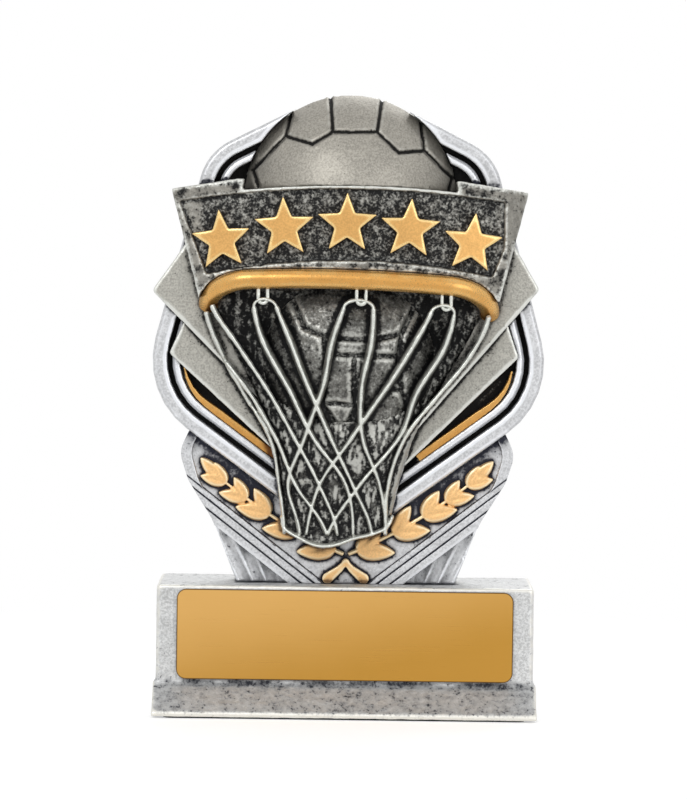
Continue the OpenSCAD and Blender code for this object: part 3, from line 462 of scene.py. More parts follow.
def hollows(mesh, rounds):
    # in mm: above 0 in hollows and creases, below 0 on ridges and edges
    points = meshPoints(mesh)
    normals = meshNormals(mesh)
    count = len(points)
    ends = np.empty(len(mesh.edges) * 2, np.int32)
    mesh.edges.foreach_get("vertices", ends)
    a, b = ends.reshape(-1, 2).T
    links = np.maximum(np.bincount(ends, minlength=count), 1)
    even = points.copy()
    for _ in range(rounds):
        for axis in range(3):
            line = even[:, axis].copy()
            total = sum(np.bincount(here, weights=line[there], minlength=count)
                        for here, there in ((a, b), (b, a)))
            even[:, axis] = total / links
    return ((even - points) * normals).sum(1) / mm


# Geometry Nodes trees: a tube along paths, and items set on points


def newTree(name, inputs):
    tree = bpy.data.node_groups.new(name, "GeometryNodeTree")
    tree.is_modifier = True
    for socket, kind in [("Geometry", "NodeSocketGeometry")] + inputs + [("Material", "NodeSocketMaterial")]:
        tree.interface.new_socket(name=socket, in_out="INPUT", socket_type=kind)
    tree.interface.new_socket(name="Geometry", in_out="OUTPUT", socket_type="NodeSocketGeometry")
    return tree, addNode(tree, "NodeGroupInput").outputs


def endTree(tree, given, shape):
    smooth = feed(tree, addNode(tree, "GeometryNodeSetShadeSmooth"), {"Geometry": shape})
    real = feed(tree, addNode(tree, "GeometryNodeRealizeInstances"), {"Geometry": smooth.outputs[0]})
    coat = feed(tree, addNode(tree, "GeometryNodeSetMaterial"),
                {"Geometry": real.outputs[0], "Material": given["Material"]})
    feed(tree, addNode(tree, "NodeGroupOutput"), {"Geometry": coat.outputs[0]})
    return tree


def readAttribute(tree, name):
    node = addNode(tree, "GeometryNodeInputNamedAttribute", data_type="FLOAT")
    return feed(tree, node, {"Name": name}).outputs["Attribute"]


def buildTubeTree():
    tree, given = newTree("tubeAlongPath", [("Radius", "NodeSocketFloat"), ("Sides", "NodeSocketInt")])
    curve = feed(tree, addNode(tree, "GeometryNodeMeshToCurve"), {"Mesh": given["Geometry"]}).outputs[0]
    thick = times(tree, given["Radius"], readAttribute(tree, "thick"))
    ring = feed(tree, addNode(tree, "GeometryNodeCurvePrimitiveCircle"),
                {"Resolution": given["Sides"], "Radius": 1.0})
    tube = feed(tree, addNode(tree, "GeometryNodeCurveToMesh"),
                {"Curve": curve, "Profile Curve": ring.outputs[0], "Scale": thick, "Fill Caps": True})
    return endTree(tree, given, tube.outputs[0])


def buildItemTree():
    tree, given = newTree("itemsOnPoints", [("Item", "NodeSocketObject"), ("Item Scale", "NodeSocketFloat")])
    item = feed(tree, addNode(tree, "GeometryNodeObjectInfo"), {"Object": given["Item"]}).outputs["Geometry"]
    wide = times(tree, given["Item Scale"], readAttribute(tree, "size"))
    scale = feed(tree, addNode(tree, "ShaderNodeCombineXYZ"), {"X": wide, "Y": 1.0, "Z": wide}).outputs[0]
    turn = times(tree, readAttribute(tree, "turn"), -1.0)
    spin = feed(tree, addNode(tree, "ShaderNodeCombineXYZ"), {"X": 0.0, "Y": turn, "Z": 0.0}).outputs[0]
    placed = feed(tree, addNode(tree, "GeometryNodeInstanceOnPoints"),
                  {"Points": given["Geometry"], "Instance": item, "Rotation": spin, "Scale": scale})
    return endTree(tree, given, placed.outputs[0])


tubeTree = buildTubeTree()
itemTree = buildItemTree()


def grow(piece, tree, values):
    # runs a tree on a piece and keeps the result as its plain mesh
    shape = piece.modifiers.new(tree.name, "NODES")
    shape.node_group = tree
    for socket in tree.interface.items_tree:
        if socket.in_out == "INPUT" and socket.name in values:
            shape[socket.identifier] = values[socket.name]
    return settle(piece)


def pathPiece(name, paths, thickness=None):
    # each path is a list of points in mm, and thickness holds for each one a list of shares of the radius
    points, edges, thick = [], [], []
    for k, path in enumerate(paths):
        start = len(points)
        points += [Vector(p) * mm for p in path]
        edges += [(start + i, start + i + 1) for i in range(len(path) - 1)]
        thick += list(thickness[k]) if thickness else [1.0] * len(path)
    mesh = bpy.data.meshes.new(name)
    mesh.from_pydata(points, edges, [])
    putValues(mesh, "thick", np.array(thick))
    return addObject(name, mesh)


def pointPiece(name, spots):
    # each spot is a place in mm, a turn in degrees seen from the front, and a size
    mesh = bpy.data.meshes.new(name)
    mesh.from_pydata([Vector(s[0]) * mm for s in spots], [], [])
    putValues(mesh, "turn", np.radians([s[1] for s in spots]))
    putValues(mesh, "size", np.array([s[2] for s in spots], float))
    return addObject(name, mesh)


def joinInto(piece, *others):
    work = bmesh.new()
    for part in (piece, *others):
        work.from_mesh(part.data)
    mesh = bpy.data.meshes.new(piece.name)
    work.to_mesh(mesh)
    work.free()
    piece.data = mesh
    for part in others:
        bpy.data.objects.remove(part)
    return piece


def tubes(name, paths, radius, sides, coat, thickness=None):
    # one tube along each path, with the radius in mm
    return grow(pathPiece(name, paths, thickness), tubeTree,
                {"Radius": radius * mm, "Sides": sides, "Material": paints[coat]})


def evenSteps(count):
    # shares from 0 to 1
    return [k / count for k in range(count + 1)]


pieces = {}   # every finished piece by its name


def keep(piece, nodes, coat):
    putPoints(piece.data, np.clip(meshPoints(piece.data), cadBox[0], cadBox[1]))
    piece.data.materials.clear()
    piece.data.materials.append(paints[coat])
    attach(piece, "root")
    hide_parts(*nodes)
    pieces[piece.name] = piece
    print("made", piece.name, len(piece.data.polygons), "faces")


# Cast pieces: the CAD node's form under one softened skin with the casting's unevenness

# One row for each: CAD node, voxel in mm, smoothing rounds, lumps as sizes and depths in mm, and coat
castPieces = {
    "plinthCast": ("plinth", 0.42, 4, [(9, 0.06), (2.2, 0.05), (0.9, 0.03)], "plinthSilver"),
    "panelCast": ("upright_panel", 0.55, 3, [(6, 0.08), (1.6, 0.04)], "antiqueSilver"),
    "stemCast": ("fluted_stem", 0.33, 3, [(3, 0.04), (1.0, 0.02)], "brightSilver"),
    "shieldCast": ("laurel_shield", 0.16, 1, [(3, 0.02), (0.7, 0.015)], "brightSilver"),
    "outerBand": ("outer_frame", 0.28, 2, [(5, 0.04), (1.2, 0.015)], "brightSilver"),
    "innerBand": ("inner_frame", 0.26, 2, [(5, 0.03), (1.2, 0.015)], "brightSilver"),
    "lowerPlateCast": ("lower_plate", 0.33, 2, [(4, 0.04), (1.0, 0.02)], "antiqueSilver"),
    "upperPlateCast": ("upper_plate", 0.33, 2, [(4, 0.04), (1.0, 0.02)], "antiqueSilver"),
    "bannerCast": ("banner", 0.3, 3, [(3, 0.05), (1.1, 0.05), (0.6, 0.04)], "bannerSilver"),
    "netGround": ("net_core", 0.3, 4, [(2.4, 0.12), (1.0, 0.08), (0.6, 0.04)], "darkWash"),
    "stripeLeft": ("gold_stripe_left", 0.2, 4, [(1.5, 0.02)], "hoopGold"),
    "stripeRight": ("gold_stripe_right", 0.2, 4, [(1.5, 0.02)], "hoopGold"),
    "stalkEnds": ("laurel_stalks", 0.2, 3, [(1.2, 0.03)], "laurelGold"),
}

for name, (node, voxel, rounds, lumps, coat) in castPieces.items():
    made = castOver(nodeCopy(node, name), voxel, rounds)
    roughen(made, lumps)
    keep(made, [node], coat)

# The two balls: smooth caps with moulded seams


def nearestLine(points, lines):
    # for each point, in mm: how far it is from the nearest line in the front view, and how far behind it
    spots = points / mm
    flat = spots[:, [0, 2]]
    best = np.full(len(flat), 99.0)
    behind = np.zeros(len(flat))
    for line in lines:
        for p, q in zip(line[:-1], line[1:]):
            start, run = np.array([p[0], p[2]]), np.array([q[0] - p[0], q[2] - p[2]])
            share = np.clip(((flat - start) @ run) / (run @ run), 0, 1)
            gap = np.linalg.norm(flat - start - share[:, None] * run, axis=1)
            closer = gap < best
            best[closer] = gap[closer]
            behind[closer] = (spots[:, 1] - p[1] - share * (q[1] - p[1]))[closer]
    return best, behind


seamRule = {
    "sink": 0.06, "lump": 2.5,     # how far the cap lies under the CAD ball, and its lumps' size, in mm
    "shell": 0.9, "flat": 0.75,    # points this near to the cap belong to it where they face outwards
    "near": 0.9, "steep": 0.1,     # this near to a seam they may be steeper
    "lipAt": 2.4, "shade": 1.15,   # in seam widths: where the lips are, and how wide the seam is washed
}


def makeBall(name, node, ball):
    made = castOver(nodeCopy(node, name), ball["voxel"], ball["rounds"])
    mesh = made.data
    points = meshPoints(mesh)
    normals = meshNormals(mesh)
    capRadius = (ball["edge"] ** 2 + ball["rise"] ** 2) / (2 * ball["rise"])
    middle = np.array([0, ball["level"] - ball["rise"] + capRadius, ball["height"]]) * mm
    away = points - middle
    reach = np.linalg.norm(away, axis=1)
    ray = away / reach[:, None]
    lines = [[(x * ball["seamScale"], 0, z * ball["seamScale"] + ball["height"]) for x, z in path]
             for path in ball["seams"]]
    seams, _ = nearestLine(points, lines)
    widths = seams / ball["seamWidth"]
    groove = ball["seamDepth"] * np.exp(-widths ** 2)
    raised = ball["lip"] * np.exp(-(widths - seamRule["lipAt"]) ** 2)
    lumps = latticeNoise(points, seamRule["lump"], seed=3) * ball["lumps"]
    steepest = np.where(seams < seamRule["near"], seamRule["steep"], seamRule["flat"])
    onCap = (np.abs(reach - capRadius * mm) < seamRule["shell"] * mm) & ((ray * normals).sum(1) > steepest)
    target = (capRadius - seamRule["sink"] - groove + raised + lumps) * mm
    points[onCap] = middle + ray[onCap] * target[onCap][:, None]
    putPoints(mesh, points)
    # how much of a seam's groove each point lies in, for the wash
    putValues(mesh, "seam", np.where(onCap, np.exp(-(widths / seamRule["shade"]) ** 2), 0))
    keep(made, [node], ball["coat"])


topBall = {
    "voxel": 0.28, "rounds": 3, "edge": 22.4, "rise": 15, "level": 0, "height": 107.1, "coat": "ballSilver",
    "seamDepth": 0.5, "seamWidth": 0.36, "lip": 0.08, "lumps": 0.05, "seamScale": 22.4,
    "seams": [
        [(-0.83, 0.02), (-0.86, 0.13), (-0.92, 0.29), (-0.61, 0.61), (-0.36, 0.535), (-0.17, 0.65),
         (0.24, 0.655), (0.445, 0.465), (0.68, 0.49), (0.955, 0.24), (0.9, 0.02)],
        [(-0.17, 0.65), (-0.2, 1)], [(0.24, 0.655), (0.29, 1)], [(-0.61, 0.61), (-0.56, 0.9)],
        [(0.68, 0.49), (0.65, 0.8)]],
}
netBall = {
    "voxel": 0.3, "rounds": 3, "edge": 20, "rise": 7, "level": -6.5, "height": 73.15, "coat": "darkWash",
    "seamDepth": 0.55, "seamWidth": 0.5, "lip": 0.06, "lumps": 0.1, "seamScale": 1,
    "seams": [
        [(-12.5, 15.1), (-9.3, 7.9), (-5.3, 6.3), (0.3, 5.7), (5.5, 5.6), (11.0, 6.9), (14.1, 13.4)],
        [(-4.8, 2.7), (1.2, 2.3), (10.6, 2.2)], [(1.2, 2.3), (1.2, -3.4), (1.3, -8.1)],
        [(-5.3, -7.8), (-1.6, -7.9), (1.7, -8.2)], [(-5.3, -7.8), (-0.9, -14.6), (1.7, -8.2)],
        [(-5.3, 6.3), (-4.6, 1.3), (-5.3, -7.8)], [(11.0, 6.9), (10.3, 1.4), (11.2, -5.0)],
        [(7.7, -4.4), (11.2, -5.0), (12.1, -6.9)]],
}
makeBall("ballCast", "ball", topBall)
makeBall("netBallCast", "net_ball", netBall)

# The hoop: a tube along its arch

hoopShape = {"half": 29.3, "tube": 2.05, "reach": 9, "drop": 6.3, "corner": 10, "lean": 1.2, "height": 91.2,
             "plate": -6.5, "slim": 0.03, "steps": 90, "sides": 28, "lumps": [(4, 0.03), (1.2, 0.015)]}
hoopSpan = math.hypot(hoopShape["reach"], hoopShape["drop"])
hoopTilt = math.atan2(hoopShape["drop"], hoopShape["reach"])
hoopLean = math.radians(hoopShape["lean"])
hoopInner = hoopShape["half"] - hoopShape["corner"]
hoopFront = (hoopShape["half"] ** 2 - 2 * hoopShape["half"] * hoopShape["corner"] + hoopSpan ** 2) / (
    2 * (hoopSpan - hoopShape["corner"]))
hoopTurn = math.atan2(hoopFront - hoopSpan, hoopInner)


def hoopPlace(x, y):
    # lifts a point of the flat arch to where the hoop is
    back, up = y * math.cos(hoopTilt), -y * math.sin(hoopTilt)
    return (x * math.cos(hoopLean) + up * math.sin(hoopLean), hoopShape["plate"] + back,
            hoopShape["height"] - hoopShape["drop"] - x * math.sin(hoopLean) + up * math.cos(hoopLean))


def archPoint(t):
    # the flat arch: a corner at each end, and one wide bend between them
    angle = math.pi * (1 + t)
    corner = hoopShape["corner"]
    if angle < math.pi + hoopTurn / 2:
        bend = math.pi + (angle - math.pi) * 2
        return -hoopInner + corner * math.cos(bend), corner * math.sin(bend)
    if angle > 2 * math.pi - hoopTurn / 2:
        bend = 2 * math.pi - (2 * math.pi - angle) * 2
        return hoopInner + corner * math.cos(bend), corner * math.sin(bend)
    bend = 1.5 * math.pi + (angle - 1.5 * math.pi) * (math.pi / 2 - hoopTurn) / (math.pi / 2 - hoopTurn / 2)
    return hoopFront * math.cos(bend), hoopFront - hoopSpan + hoopFront * math.sin(bend)


def hoopAbove(x):
    # the hoop's middle line above a place in the front view
    side = min(abs(x), hoopShape["half"])
    over = side - hoopInner
    if over > hoopShape["corner"] * math.cos(hoopTurn):
        return hoopPlace(x, -math.sqrt(max(hoopShape["corner"] ** 2 - over ** 2, 0)))
    return hoopPlace(x, hoopFront - hoopSpan - math.sqrt(hoopFront ** 2 - side ** 2))


hoopLine = [hoopPlace(*archPoint(t)) for t in evenSteps(hoopShape["steps"])]
hoopTube = tubes("hoopTube", [hoopLine], hoopShape["tube"] - hoopShape["slim"], hoopShape["sides"],
                 "hoopGold")
roughen(hoopTube, hoopShape["lumps"])
keep(hoopTube, ["hoop"], "hoopGold")

# The net: strands along their paths, over the webs that root them, and the tie loops

netShape = {
    "hem": 38.15, "hemHalf": 11.3, "shift": 2.4, "reach": 9, "strand": 0.6, "crest": 0.31, "flank": 0.42,
    "flankBack": 0.5, "forward": 0.25, "webThin": 0.2, "webBack": 0.35, "start": 0.06, "archRise": 0.035,
    "rooted": 6, "roots": [(0.62, 1.0), (0.85, 1.7), (1.1, 2.6)],   # wide roots: strands, radii, set-backs
    "width": [1, 0.763, 0.464, 0.203, 0.076, 0], "depth": [1, 0.96, 0.89, 0.76, 0.58, 0.42], "topShare": 1.02,
    "underHoop": 1.12,   # where the strands start, in radii of the hoop's tube
    "strands": [
        [-0.67, -0.69, -0.59, -0.41, 0.12, 0.34], [-0.53, -0.47, -0.38, -0.17, 0.23, 0.69],
        [-0.01, -0.13, -0.25, -0.53, -0.84, -0.64], [0.17, 0.19, 0.16, 0.27, 0.67, 0.94],
        [0.6, 0.53, 0.39, 0.11, -0.33, -0.52], [0.74, 0.78, 0.73, 0.74, 0.31, -0.12],
        [-0.95, -0.89, -0.81, -0.67, -0.32, 0.05], [-0.99, -1, -0.97, -0.91, -0.71, -0.15],
        [0.97, 0.97, 0.92, 0.82, 0.79, 0.93], [-0.99, -1, -1, -0.98, -0.98, -0.93]],
    "hemLine": [(-0.98, 0.93), (-0.93, 0.98), (-0.64, 1.02), (-0.3, 1.05), (0.05, 1.045), (0.34, 1.02),
                (0.69, 1), (0.94, 0.97), (0.99, 0.92)],
    "pairs": [(0, 1), (2, 3), (4, 5)], "ties": [-0.6, 0.08, 0.67],
    "steps": 60, "archSteps": 12, "hemSteps": 48, "sides": 10,
    "taper": (1.35, 0.5), "hemSize": 0.95, "swell": [(0.09, 0.9, 2.1), (0.07, 2.3, 1)],
    "rootTaper": (0.2, 12, 0.85), "voxel": 0.19, "rounds": 1, "lumps": [(1.6, 0.05), (0.6, 0.03)],
}


def smoothValue(stations, t):
    # a smooth curve through evenly spaced values
    last = len(stations) - 1
    i = min(int(t * last), last - 1)
    f = t * last - i
    a, b, c, d = stations[max(i - 1, 0)], stations[i], stations[i + 1], stations[min(i + 2, last)]
    return b + 0.5 * f * (c - a + f * (2 * a - 5 * b + 4 * c - d + f * (3 * b - 3 * c + d - a)))


def netPoint(s, u):
    # s runs across the net from -1 to 1, and u from the hoop down to the hem
    net = netShape
    topHalf = hoopShape["half"] * net["topShare"]
    half = net["hemHalf"] + smoothValue(net["width"], u) * (topHalf - net["hemHalf"])
    power = 2 + 2 * max(0, 1 - u) ** 2
    side = max(0, 1 - min(abs(s), 1) ** power) ** (1 / power)
    front = smoothValue(net["depth"], u) * net["reach"] - net["strand"]
    top = hoopAbove(s * hoopShape["half"])[2] - hoopShape["tube"] * net["underHoop"] - net["strand"]
    return (-net["shift"] * u * u + s * half,
            hoopShape["plate"] - net["strand"] - side * front - net["forward"],
            top * (1 - u) + net["hem"] * u)


def netPaths():
    # the strands, then the arches that join their upper ends in pairs, then the hem
    net = netShape
    start = net["start"]
    paths = []
    for number, line in enumerate(net["strands"]):
        first = start if any(number in pair for pair in net["pairs"]) else 0
        heights = [first + (1 - first) * step for step in evenSteps(net["steps"])]
        paths.append([netPoint(smoothValue(line, u), u) for u in heights])
    for pair in net["pairs"]:
        left, right = (smoothValue(net["strands"][number], start) for number in pair)
        bends = [math.pi * (1 - step) for step in evenSteps(net["archSteps"])]
        paths.append([netPoint((left + right) / 2 + (right - left) / 2 * math.cos(bend),
                               start - net["archRise"] * math.sin(bend)) for bend in bends])
    across, down = zip(*net["hemLine"])
    paths.append([netPoint(smoothValue(across, t), smoothValue(down, t)) for t in evenSteps(net["hemSteps"])])
    return paths


def strandThickness(paths):
    # strands swell and thin a little, as cast cords do, and get finer towards the hem
    shares = []
    for k, path in enumerate(paths):
        row = []
        for i in range(len(path)):
            size = netShape["hemSize"]
            if k < len(netShape["strands"]):
                size = netShape["taper"][0] - netShape["taper"][1] * i / (len(path) - 1)
            waves = sum(swing * math.sin(pace * i + shift * k) for swing, pace, shift in netShape["swell"])
            row.append(size * (1 + waves))
        shares.append(row)
    return shares


def rootThickness():
    # a strand's root is slim under its arch, widest a little below and fine at the hem
    least, growth, loss = netShape["rootTaper"]
    return [least + (1 - math.exp(-growth * t)) * (1 - loss * t) for t in evenSteps(netShape["steps"])]


def cutAbove(piece, level):
    # takes off what lies above a level in mm and closes the cuts
    work = bmesh.new()
    work.from_mesh(piece.data)
    cut = bmesh.ops.bisect_plane(work, geom=work.verts[:] + work.edges[:] + work.faces[:], clear_outer=True,
                                 plane_co=(0, 0, level * mm), plane_no=(0, 0, 1))
    rims = [part for part in cut["geom_cut"] if isinstance(part, bmesh.types.BMEdge)]
    bmesh.ops.holes_fill(work, edges=rims)
    work.to_mesh(piece.data)
    work.free()


def setBack(path, distance):
    return [(x, y + distance, z) for x, y, z in path]


def netTubes(name, paths, radius, thickness):
    return tubes(name, paths, radius, netShape["sides"], "strandSilver", thickness)


netLines = netPaths()
netTaper = strandThickness(netLines)
crests = netTubes("netCrests", netLines, netShape["crest"], netTaper)
flanks = netTubes("netFlanks", [setBack(line, netShape["flankBack"]) for line in netLines], netShape["flank"],
                  netTaper)
rooted = netLines[:netShape["rooted"]]
rootTaper = [rootThickness()] * len(rooted)
roots = [netTubes("netRoots", [setBack(line, back) for line in rooted], radius, rootTaper)
         for radius, back in netShape["roots"]]
webs = nodeCopy("net", "netStrands")   # the CAD net, a little thinner and set back, cut off under the arches
putPoints(webs.data, meshPoints(webs.data) - meshNormals(webs.data) * netShape["webThin"] * mm
          + np.array([0, netShape["webBack"] * mm, 0]))
cutAbove(webs, min(line[0][2] for line in rooted))
netStrands = castOver(joinInto(webs, crests, flanks, *roots), netShape["voxel"], netShape["rounds"])
roughen(netStrands, netShape["lumps"])
keep(netStrands, ["net"], "strandSilver")

tieShape = {"half": 0.95, "drop": 1.95, "radius": 0.4, "under": 0.05, "into": 0.15, "steps": 16, "sides": 12,
            "voxel": 0.14, "rounds": 1, "lumps": [(0.8, 0.05), (0.5, 0.03)]}


def tiePath(s):
    # a U from the hoop's foot down and back up
    half = tieShape["half"]
    x, y, z = hoopAbove(netPoint(s, 0)[0])
    low = z - hoopShape["tube"] - tieShape["under"]
    bends = [math.pi * (1 + step) for step in evenSteps(tieShape["steps"])]
    loop = [(x + half * math.cos(bend), y, low - tieShape["drop"] + half * math.sin(bend)) for bend in bends]
    return [(x - half, y, low + tieShape["into"])] + loop + [(x + half, y, low + tieShape["into"])]


tieLines = [tiePath(s) for s in netShape["ties"]]
tieLoops = tubes("tieLoops", tieLines, tieShape["radius"], tieShape["sides"], "strandSilver")
castOver(tieLoops, tieShape["voxel"], tieShape["rounds"])
roughen(tieLoops, tieShape["lumps"])
keep(tieLoops, ["net_ties"], "strandSilver")

# Laurel sprays: leaves set along a bowed stalk

laurelShape = {
    "leaf": 8.1, "field": -2.25, "front": -3.6, "inner": 0.87,
    "pairs": [(0.06, 1, -3, 42), (0.32, 0.97, 5, 58), (0.54, 0.92, 12, 58), (0.72, 0.76, 12, 58),
              (0.89, 0.7, 15, 60)],   # place on the stalk, size, and turns of the outer and the inner leaf
    "tip": (0.96, 0.66, 46), "start": (0.5, 33.42), "end": (28, 50.3), "bow": 1.216,
    "stalk": 0.42, "stalkProud": 0.75, "stalkTaper": (1.15, 0.5), "stalkSteps": 24, "stalkSides": 10,
    "voxel": 0.17, "rounds": 2, "lumps": [(1.4, 0.03), (0.5, 0.012)],
}
leafShape = {
    "rows": 22, "across": 12, "half": 0.65025, "least": 0.004, "root": 0.55, "tip": 0.85,   # its outline
    "flat": 7, "rib": 0.14, "ribWidth": 0.16, "ends": 0.82, "back": 0.1,                    # its rise
}


def leafItem():
    # a leaf one unit long from the origin, with rounded shoulders and a shallow midrib
    leaf = leafShape
    tall = (laurelShape["field"] - laurelShape["front"]) * mm
    work = bmesh.new()
    rings = []
    for x in evenSteps(leaf["rows"]):
        half = leaf["half"] * x ** leaf["root"] * (1 - x) ** leaf["tip"] + leaf["least"]
        swell = math.sin(math.pi * x)
        ring = []
        for v in (2 * step - 1 for step in evenSteps(leaf["across"])):
            rib = leaf["rib"] * math.exp(-(v / leaf["ribWidth"]) ** 2) * swell
            rise = (1 - abs(v) ** leaf["flat"]) ** 0.5 - rib
            lift = tall * (leaf["ends"] + (1 - leaf["ends"]) * swell) * max(rise, 0)
            ring.append(work.verts.new((x, -lift, half * v)))
        ring += [work.verts.new((x, leaf["back"] * mm, side * half)) for side in (1, -1)]
        rings.append(ring)
    for a, b in zip(rings[:-1], rings[1:]):
        for j in range(len(a)):
            after = (j + 1) % len(a)
            work.faces.new((a[j], a[after], b[after], b[j]))
    work.faces.new(rings[0])
    work.faces.new(rings[-1][::-1])
    bmesh.ops.recalc_face_normals(work, faces=work.faces)
    return objectFrom(work, "leafItem")


def bowPoint(t):
    # a place along the stalk, in the front view
    (x0, z0), (x1, z1) = laurelShape["start"], laurelShape["end"]
    dx, dz = x1 - x0, z1 - z0
    length = math.hypot(dx, dz)
    rise = -laurelShape["bow"] * (1 - (2 * t - 1) ** 2)
    return x0 + dx * t - dz / length * rise, z0 + dz * t + dx / length * rise


def makeSpray(name, side, node, leaf):
    shape = laurelShape
    leaves = []
    for t, size, outer, inner in shape["pairs"]:
        leaves += [(t, size, outer), (t, size * shape["inner"], inner)]
    places = []
    for t, size, angle in leaves + [shape["tip"]]:
        x, z = bowPoint(t)
        places.append(((side * x, shape["field"], z), angle if side > 0 else 180 - angle, size))
    spray = grow(pointPiece(name, places), itemTree,
                 {"Item": leaf, "Item Scale": shape["leaf"] * mm, "Material": paints["laurelGold"]})
    steps = evenSteps(shape["stalkSteps"])
    bow = [bowPoint(t) for t in steps]
    line = [(side * x, shape["field"] - shape["stalkProud"], z) for x, z in bow]
    taper = [shape["stalkTaper"][0] - shape["stalkTaper"][1] * t for t in steps]
    stalk = tubes(name + "Stalk", [line], shape["stalk"], shape["stalkSides"], "laurelGold", [taper])
    spray = castOver(joinInto(spray, stalk), shape["voxel"], shape["rounds"])
    roughen(spray, shape["lumps"])
    keep(spray, [node], "laurelGold")


leafObject = leafItem()
makeSpray("laurelRight", 1, "laurel_right", leafObject)
makeSpray("laurelLeft", -1, "laurel_left", leafObject)
bpy.data.objects.remove(leafObject)

# Stars: plain raised stars in the banner's field, bent to its curve

starShape = {
    "count": 5, "points": 5, "radius": 6.5, "inner": 0.43, "rise": 1.75, "back": 0.2,
    "span": 25.97, "drop": 3.717, "height": 102.675, "shift": -0.598, "tilt": 6, "bend": 126.2, "axis": 111.5,
    "voxel": 0.2, "rounds": 3, "lumps": [(2, 0.03), (0.6, 0.012)],
}


def starItem():
    # a flat star with a radius of one unit, as thick as it stands proud
    work = bmesh.new()
    corners = []
    for k in range(2 * starShape["points"]):
        reach = 1 if k % 2 == 0 else starShape["inner"]
        angle = math.pi * k / starShape["points"]
        place = (reach * math.sin(angle), starShape["back"] * mm, reach * math.cos(angle))
        corners.append(work.verts.new(place))
    face = work.faces.new(corners)
    grown = bmesh.ops.extrude_face_region(work, geom=[face])
    for vert in grown["geom"]:
        if isinstance(vert, bmesh.types.BMVert):
            vert.co.y = -starShape["rise"] * mm
    bmesh.ops.recalc_face_normals(work, faces=work.faces)
    return objectFrom(work, "starItem")


def makeStars():
    star = starShape
    spots = []
    for share in evenSteps(star["count"] - 1):
        t = 2 * share - 1
        spots.append(((star["span"] * t + star["shift"], 0, star["height"] - star["drop"] * t * t),
                      -star["tilt"] * t, 1))
    item = starItem()
    row = grow(pointPiece("starRow", spots), itemTree,
               {"Item": item, "Item Scale": star["radius"] * mm, "Material": paints["starGold"]})
    bpy.data.objects.remove(item)
    castOver(row, star["voxel"], star["rounds"])
    points = meshPoints(row.data)
    reach = star["bend"] * mm - points[:, 1]
    points[:, 1] = star["axis"] * mm - np.sqrt(reach ** 2 - points[:, 0] ** 2)
    putPoints(row.data, points)
    roughen(row, star["lumps"])
    keep(row, ["stars"], "starGold")


makeStars()

# Wash and painted shade, rubbing and painted highlight: how deep each point lies below the relief around it,
# seen from the front

reliefGrid = {"step": 0.3, "left": -43, "low": -2, "columns": 288, "rows": 448, "front": -50, "reach": 100}


def coveredCells(low, high, first, count):
    # the grid's cells that a span in mm covers
    step = reliefGrid["step"]
    return range(max(int((low - first) / step), 0), min(int((high - first) / step) + 2, count))


def frontMap(objects):
    # level in mm of the front surface at each cell, NaN beside the object, and which piece is seen there
    grid = reliefGrid
    level = np.full((grid["rows"], grid["columns"]), np.nan)
    owner = np.full(level.shape, -1)
    graph = bpy.context.evaluated_depsgraph_get()
    ahead = Vector((0, 1, 0))
    for number, piece in enumerate(objects):
        tree = BVHTree.FromObject(piece, graph)
        points = meshPoints(piece.data) / mm
        low, high = points.min(0), points.max(0)
        columns = coveredCells(low[0], high[0], grid["left"], grid["columns"])
        for row in coveredCells(low[2], high[2], grid["low"], grid["rows"]):
            for column in columns:
                x, z = grid["left"] + column * grid["step"], grid["low"] + row * grid["step"]
                start = Vector((x * mm, grid["front"] * mm, z * mm))
                spot = tree.ray_cast(start, ahead, grid["reach"] * mm)[0]
                if spot is not None and not spot.y / mm > level[row, column]:
                    level[row, column] = spot.y / mm
                    owner[row, column] = number
    return level, owner


def blur(field, radius):
    # a soft blur of a map, with the radius in mm
    rows = np.fft.fftfreq(field.shape[0])[:, None]
    columns = np.fft.fftfreq(field.shape[1])[None, :]
    cells = radius / reliefGrid["step"]
    kernel = np.exp(-2 * (math.pi * cells) ** 2 * (rows ** 2 + columns ** 2))
    return np.fft.ifft2(np.fft.fft2(field) * kernel).real


def blurMap(level, radius):
    # the mean level around each cell, over the object only, and the share of object there
    solid = ~np.isnan(level)
    share = blur(solid.astype(float), radius)
    return blur(np.where(solid, level, 0), radius) / np.maximum(share, 1e-3), share


def nearness(names, radius):
    # from 0 to 1: how much of the pieces with these names is seen around each cell
    numbers = [k for k, piece in enumerate(shown) if piece.name in names]
    return blur(np.isin(ownerMap, numbers).astype(float), radius)


def readMap(field, points):
    # a map's value at each point, in between its cells
    spot = np.stack([(points[:, 2] / mm - reliefGrid["low"]) / reliefGrid["step"],
                     (points[:, 0] / mm - reliefGrid["left"]) / reliefGrid["step"]])
    row = np.clip(spot[0], 0, field.shape[0] - 1.001)
    column = np.clip(spot[1], 0, field.shape[1] - 1.001)
    r, c = row.astype(int), column.astype(int)
    fr, fc = row - r, column - c
    return (field[r, c] * (1 - fr) * (1 - fc) + field[r + 1, c] * fr * (1 - fc)
            + field[r, c + 1] * (1 - fr) * fc + field[r + 1, c + 1] * fr * fc)


def stepUp(value, low, high, share=1.0):
    # from 0 below low, softly, to the share above high
    part = np.clip((value - low) / (high - low), 0, 1)
    return part * part * (3 - 2 * part) * share


def streak(value, middle, width, share=1.0):
    # the share at the middle, fading on both sides
    return np.exp(-((value - middle) / width) ** 2) * share


blurs = {"near": 0.5, "mid": 1.4, "far": 3.5,   # in mm
         "laurel": 0.55, "frame": 1.9, "hoop": 1.0, "stripe": 0.6}
shown = list(pieces.values()) + [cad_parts["engraving_plate"]]
levelMap, ownerMap = frontMap(shown)
nearMap, nearShare = blurMap(levelMap, blurs["near"])
midMap, _ = blurMap(levelMap, blurs["mid"])
farMap, _ = blurMap(levelMap, blurs["far"])
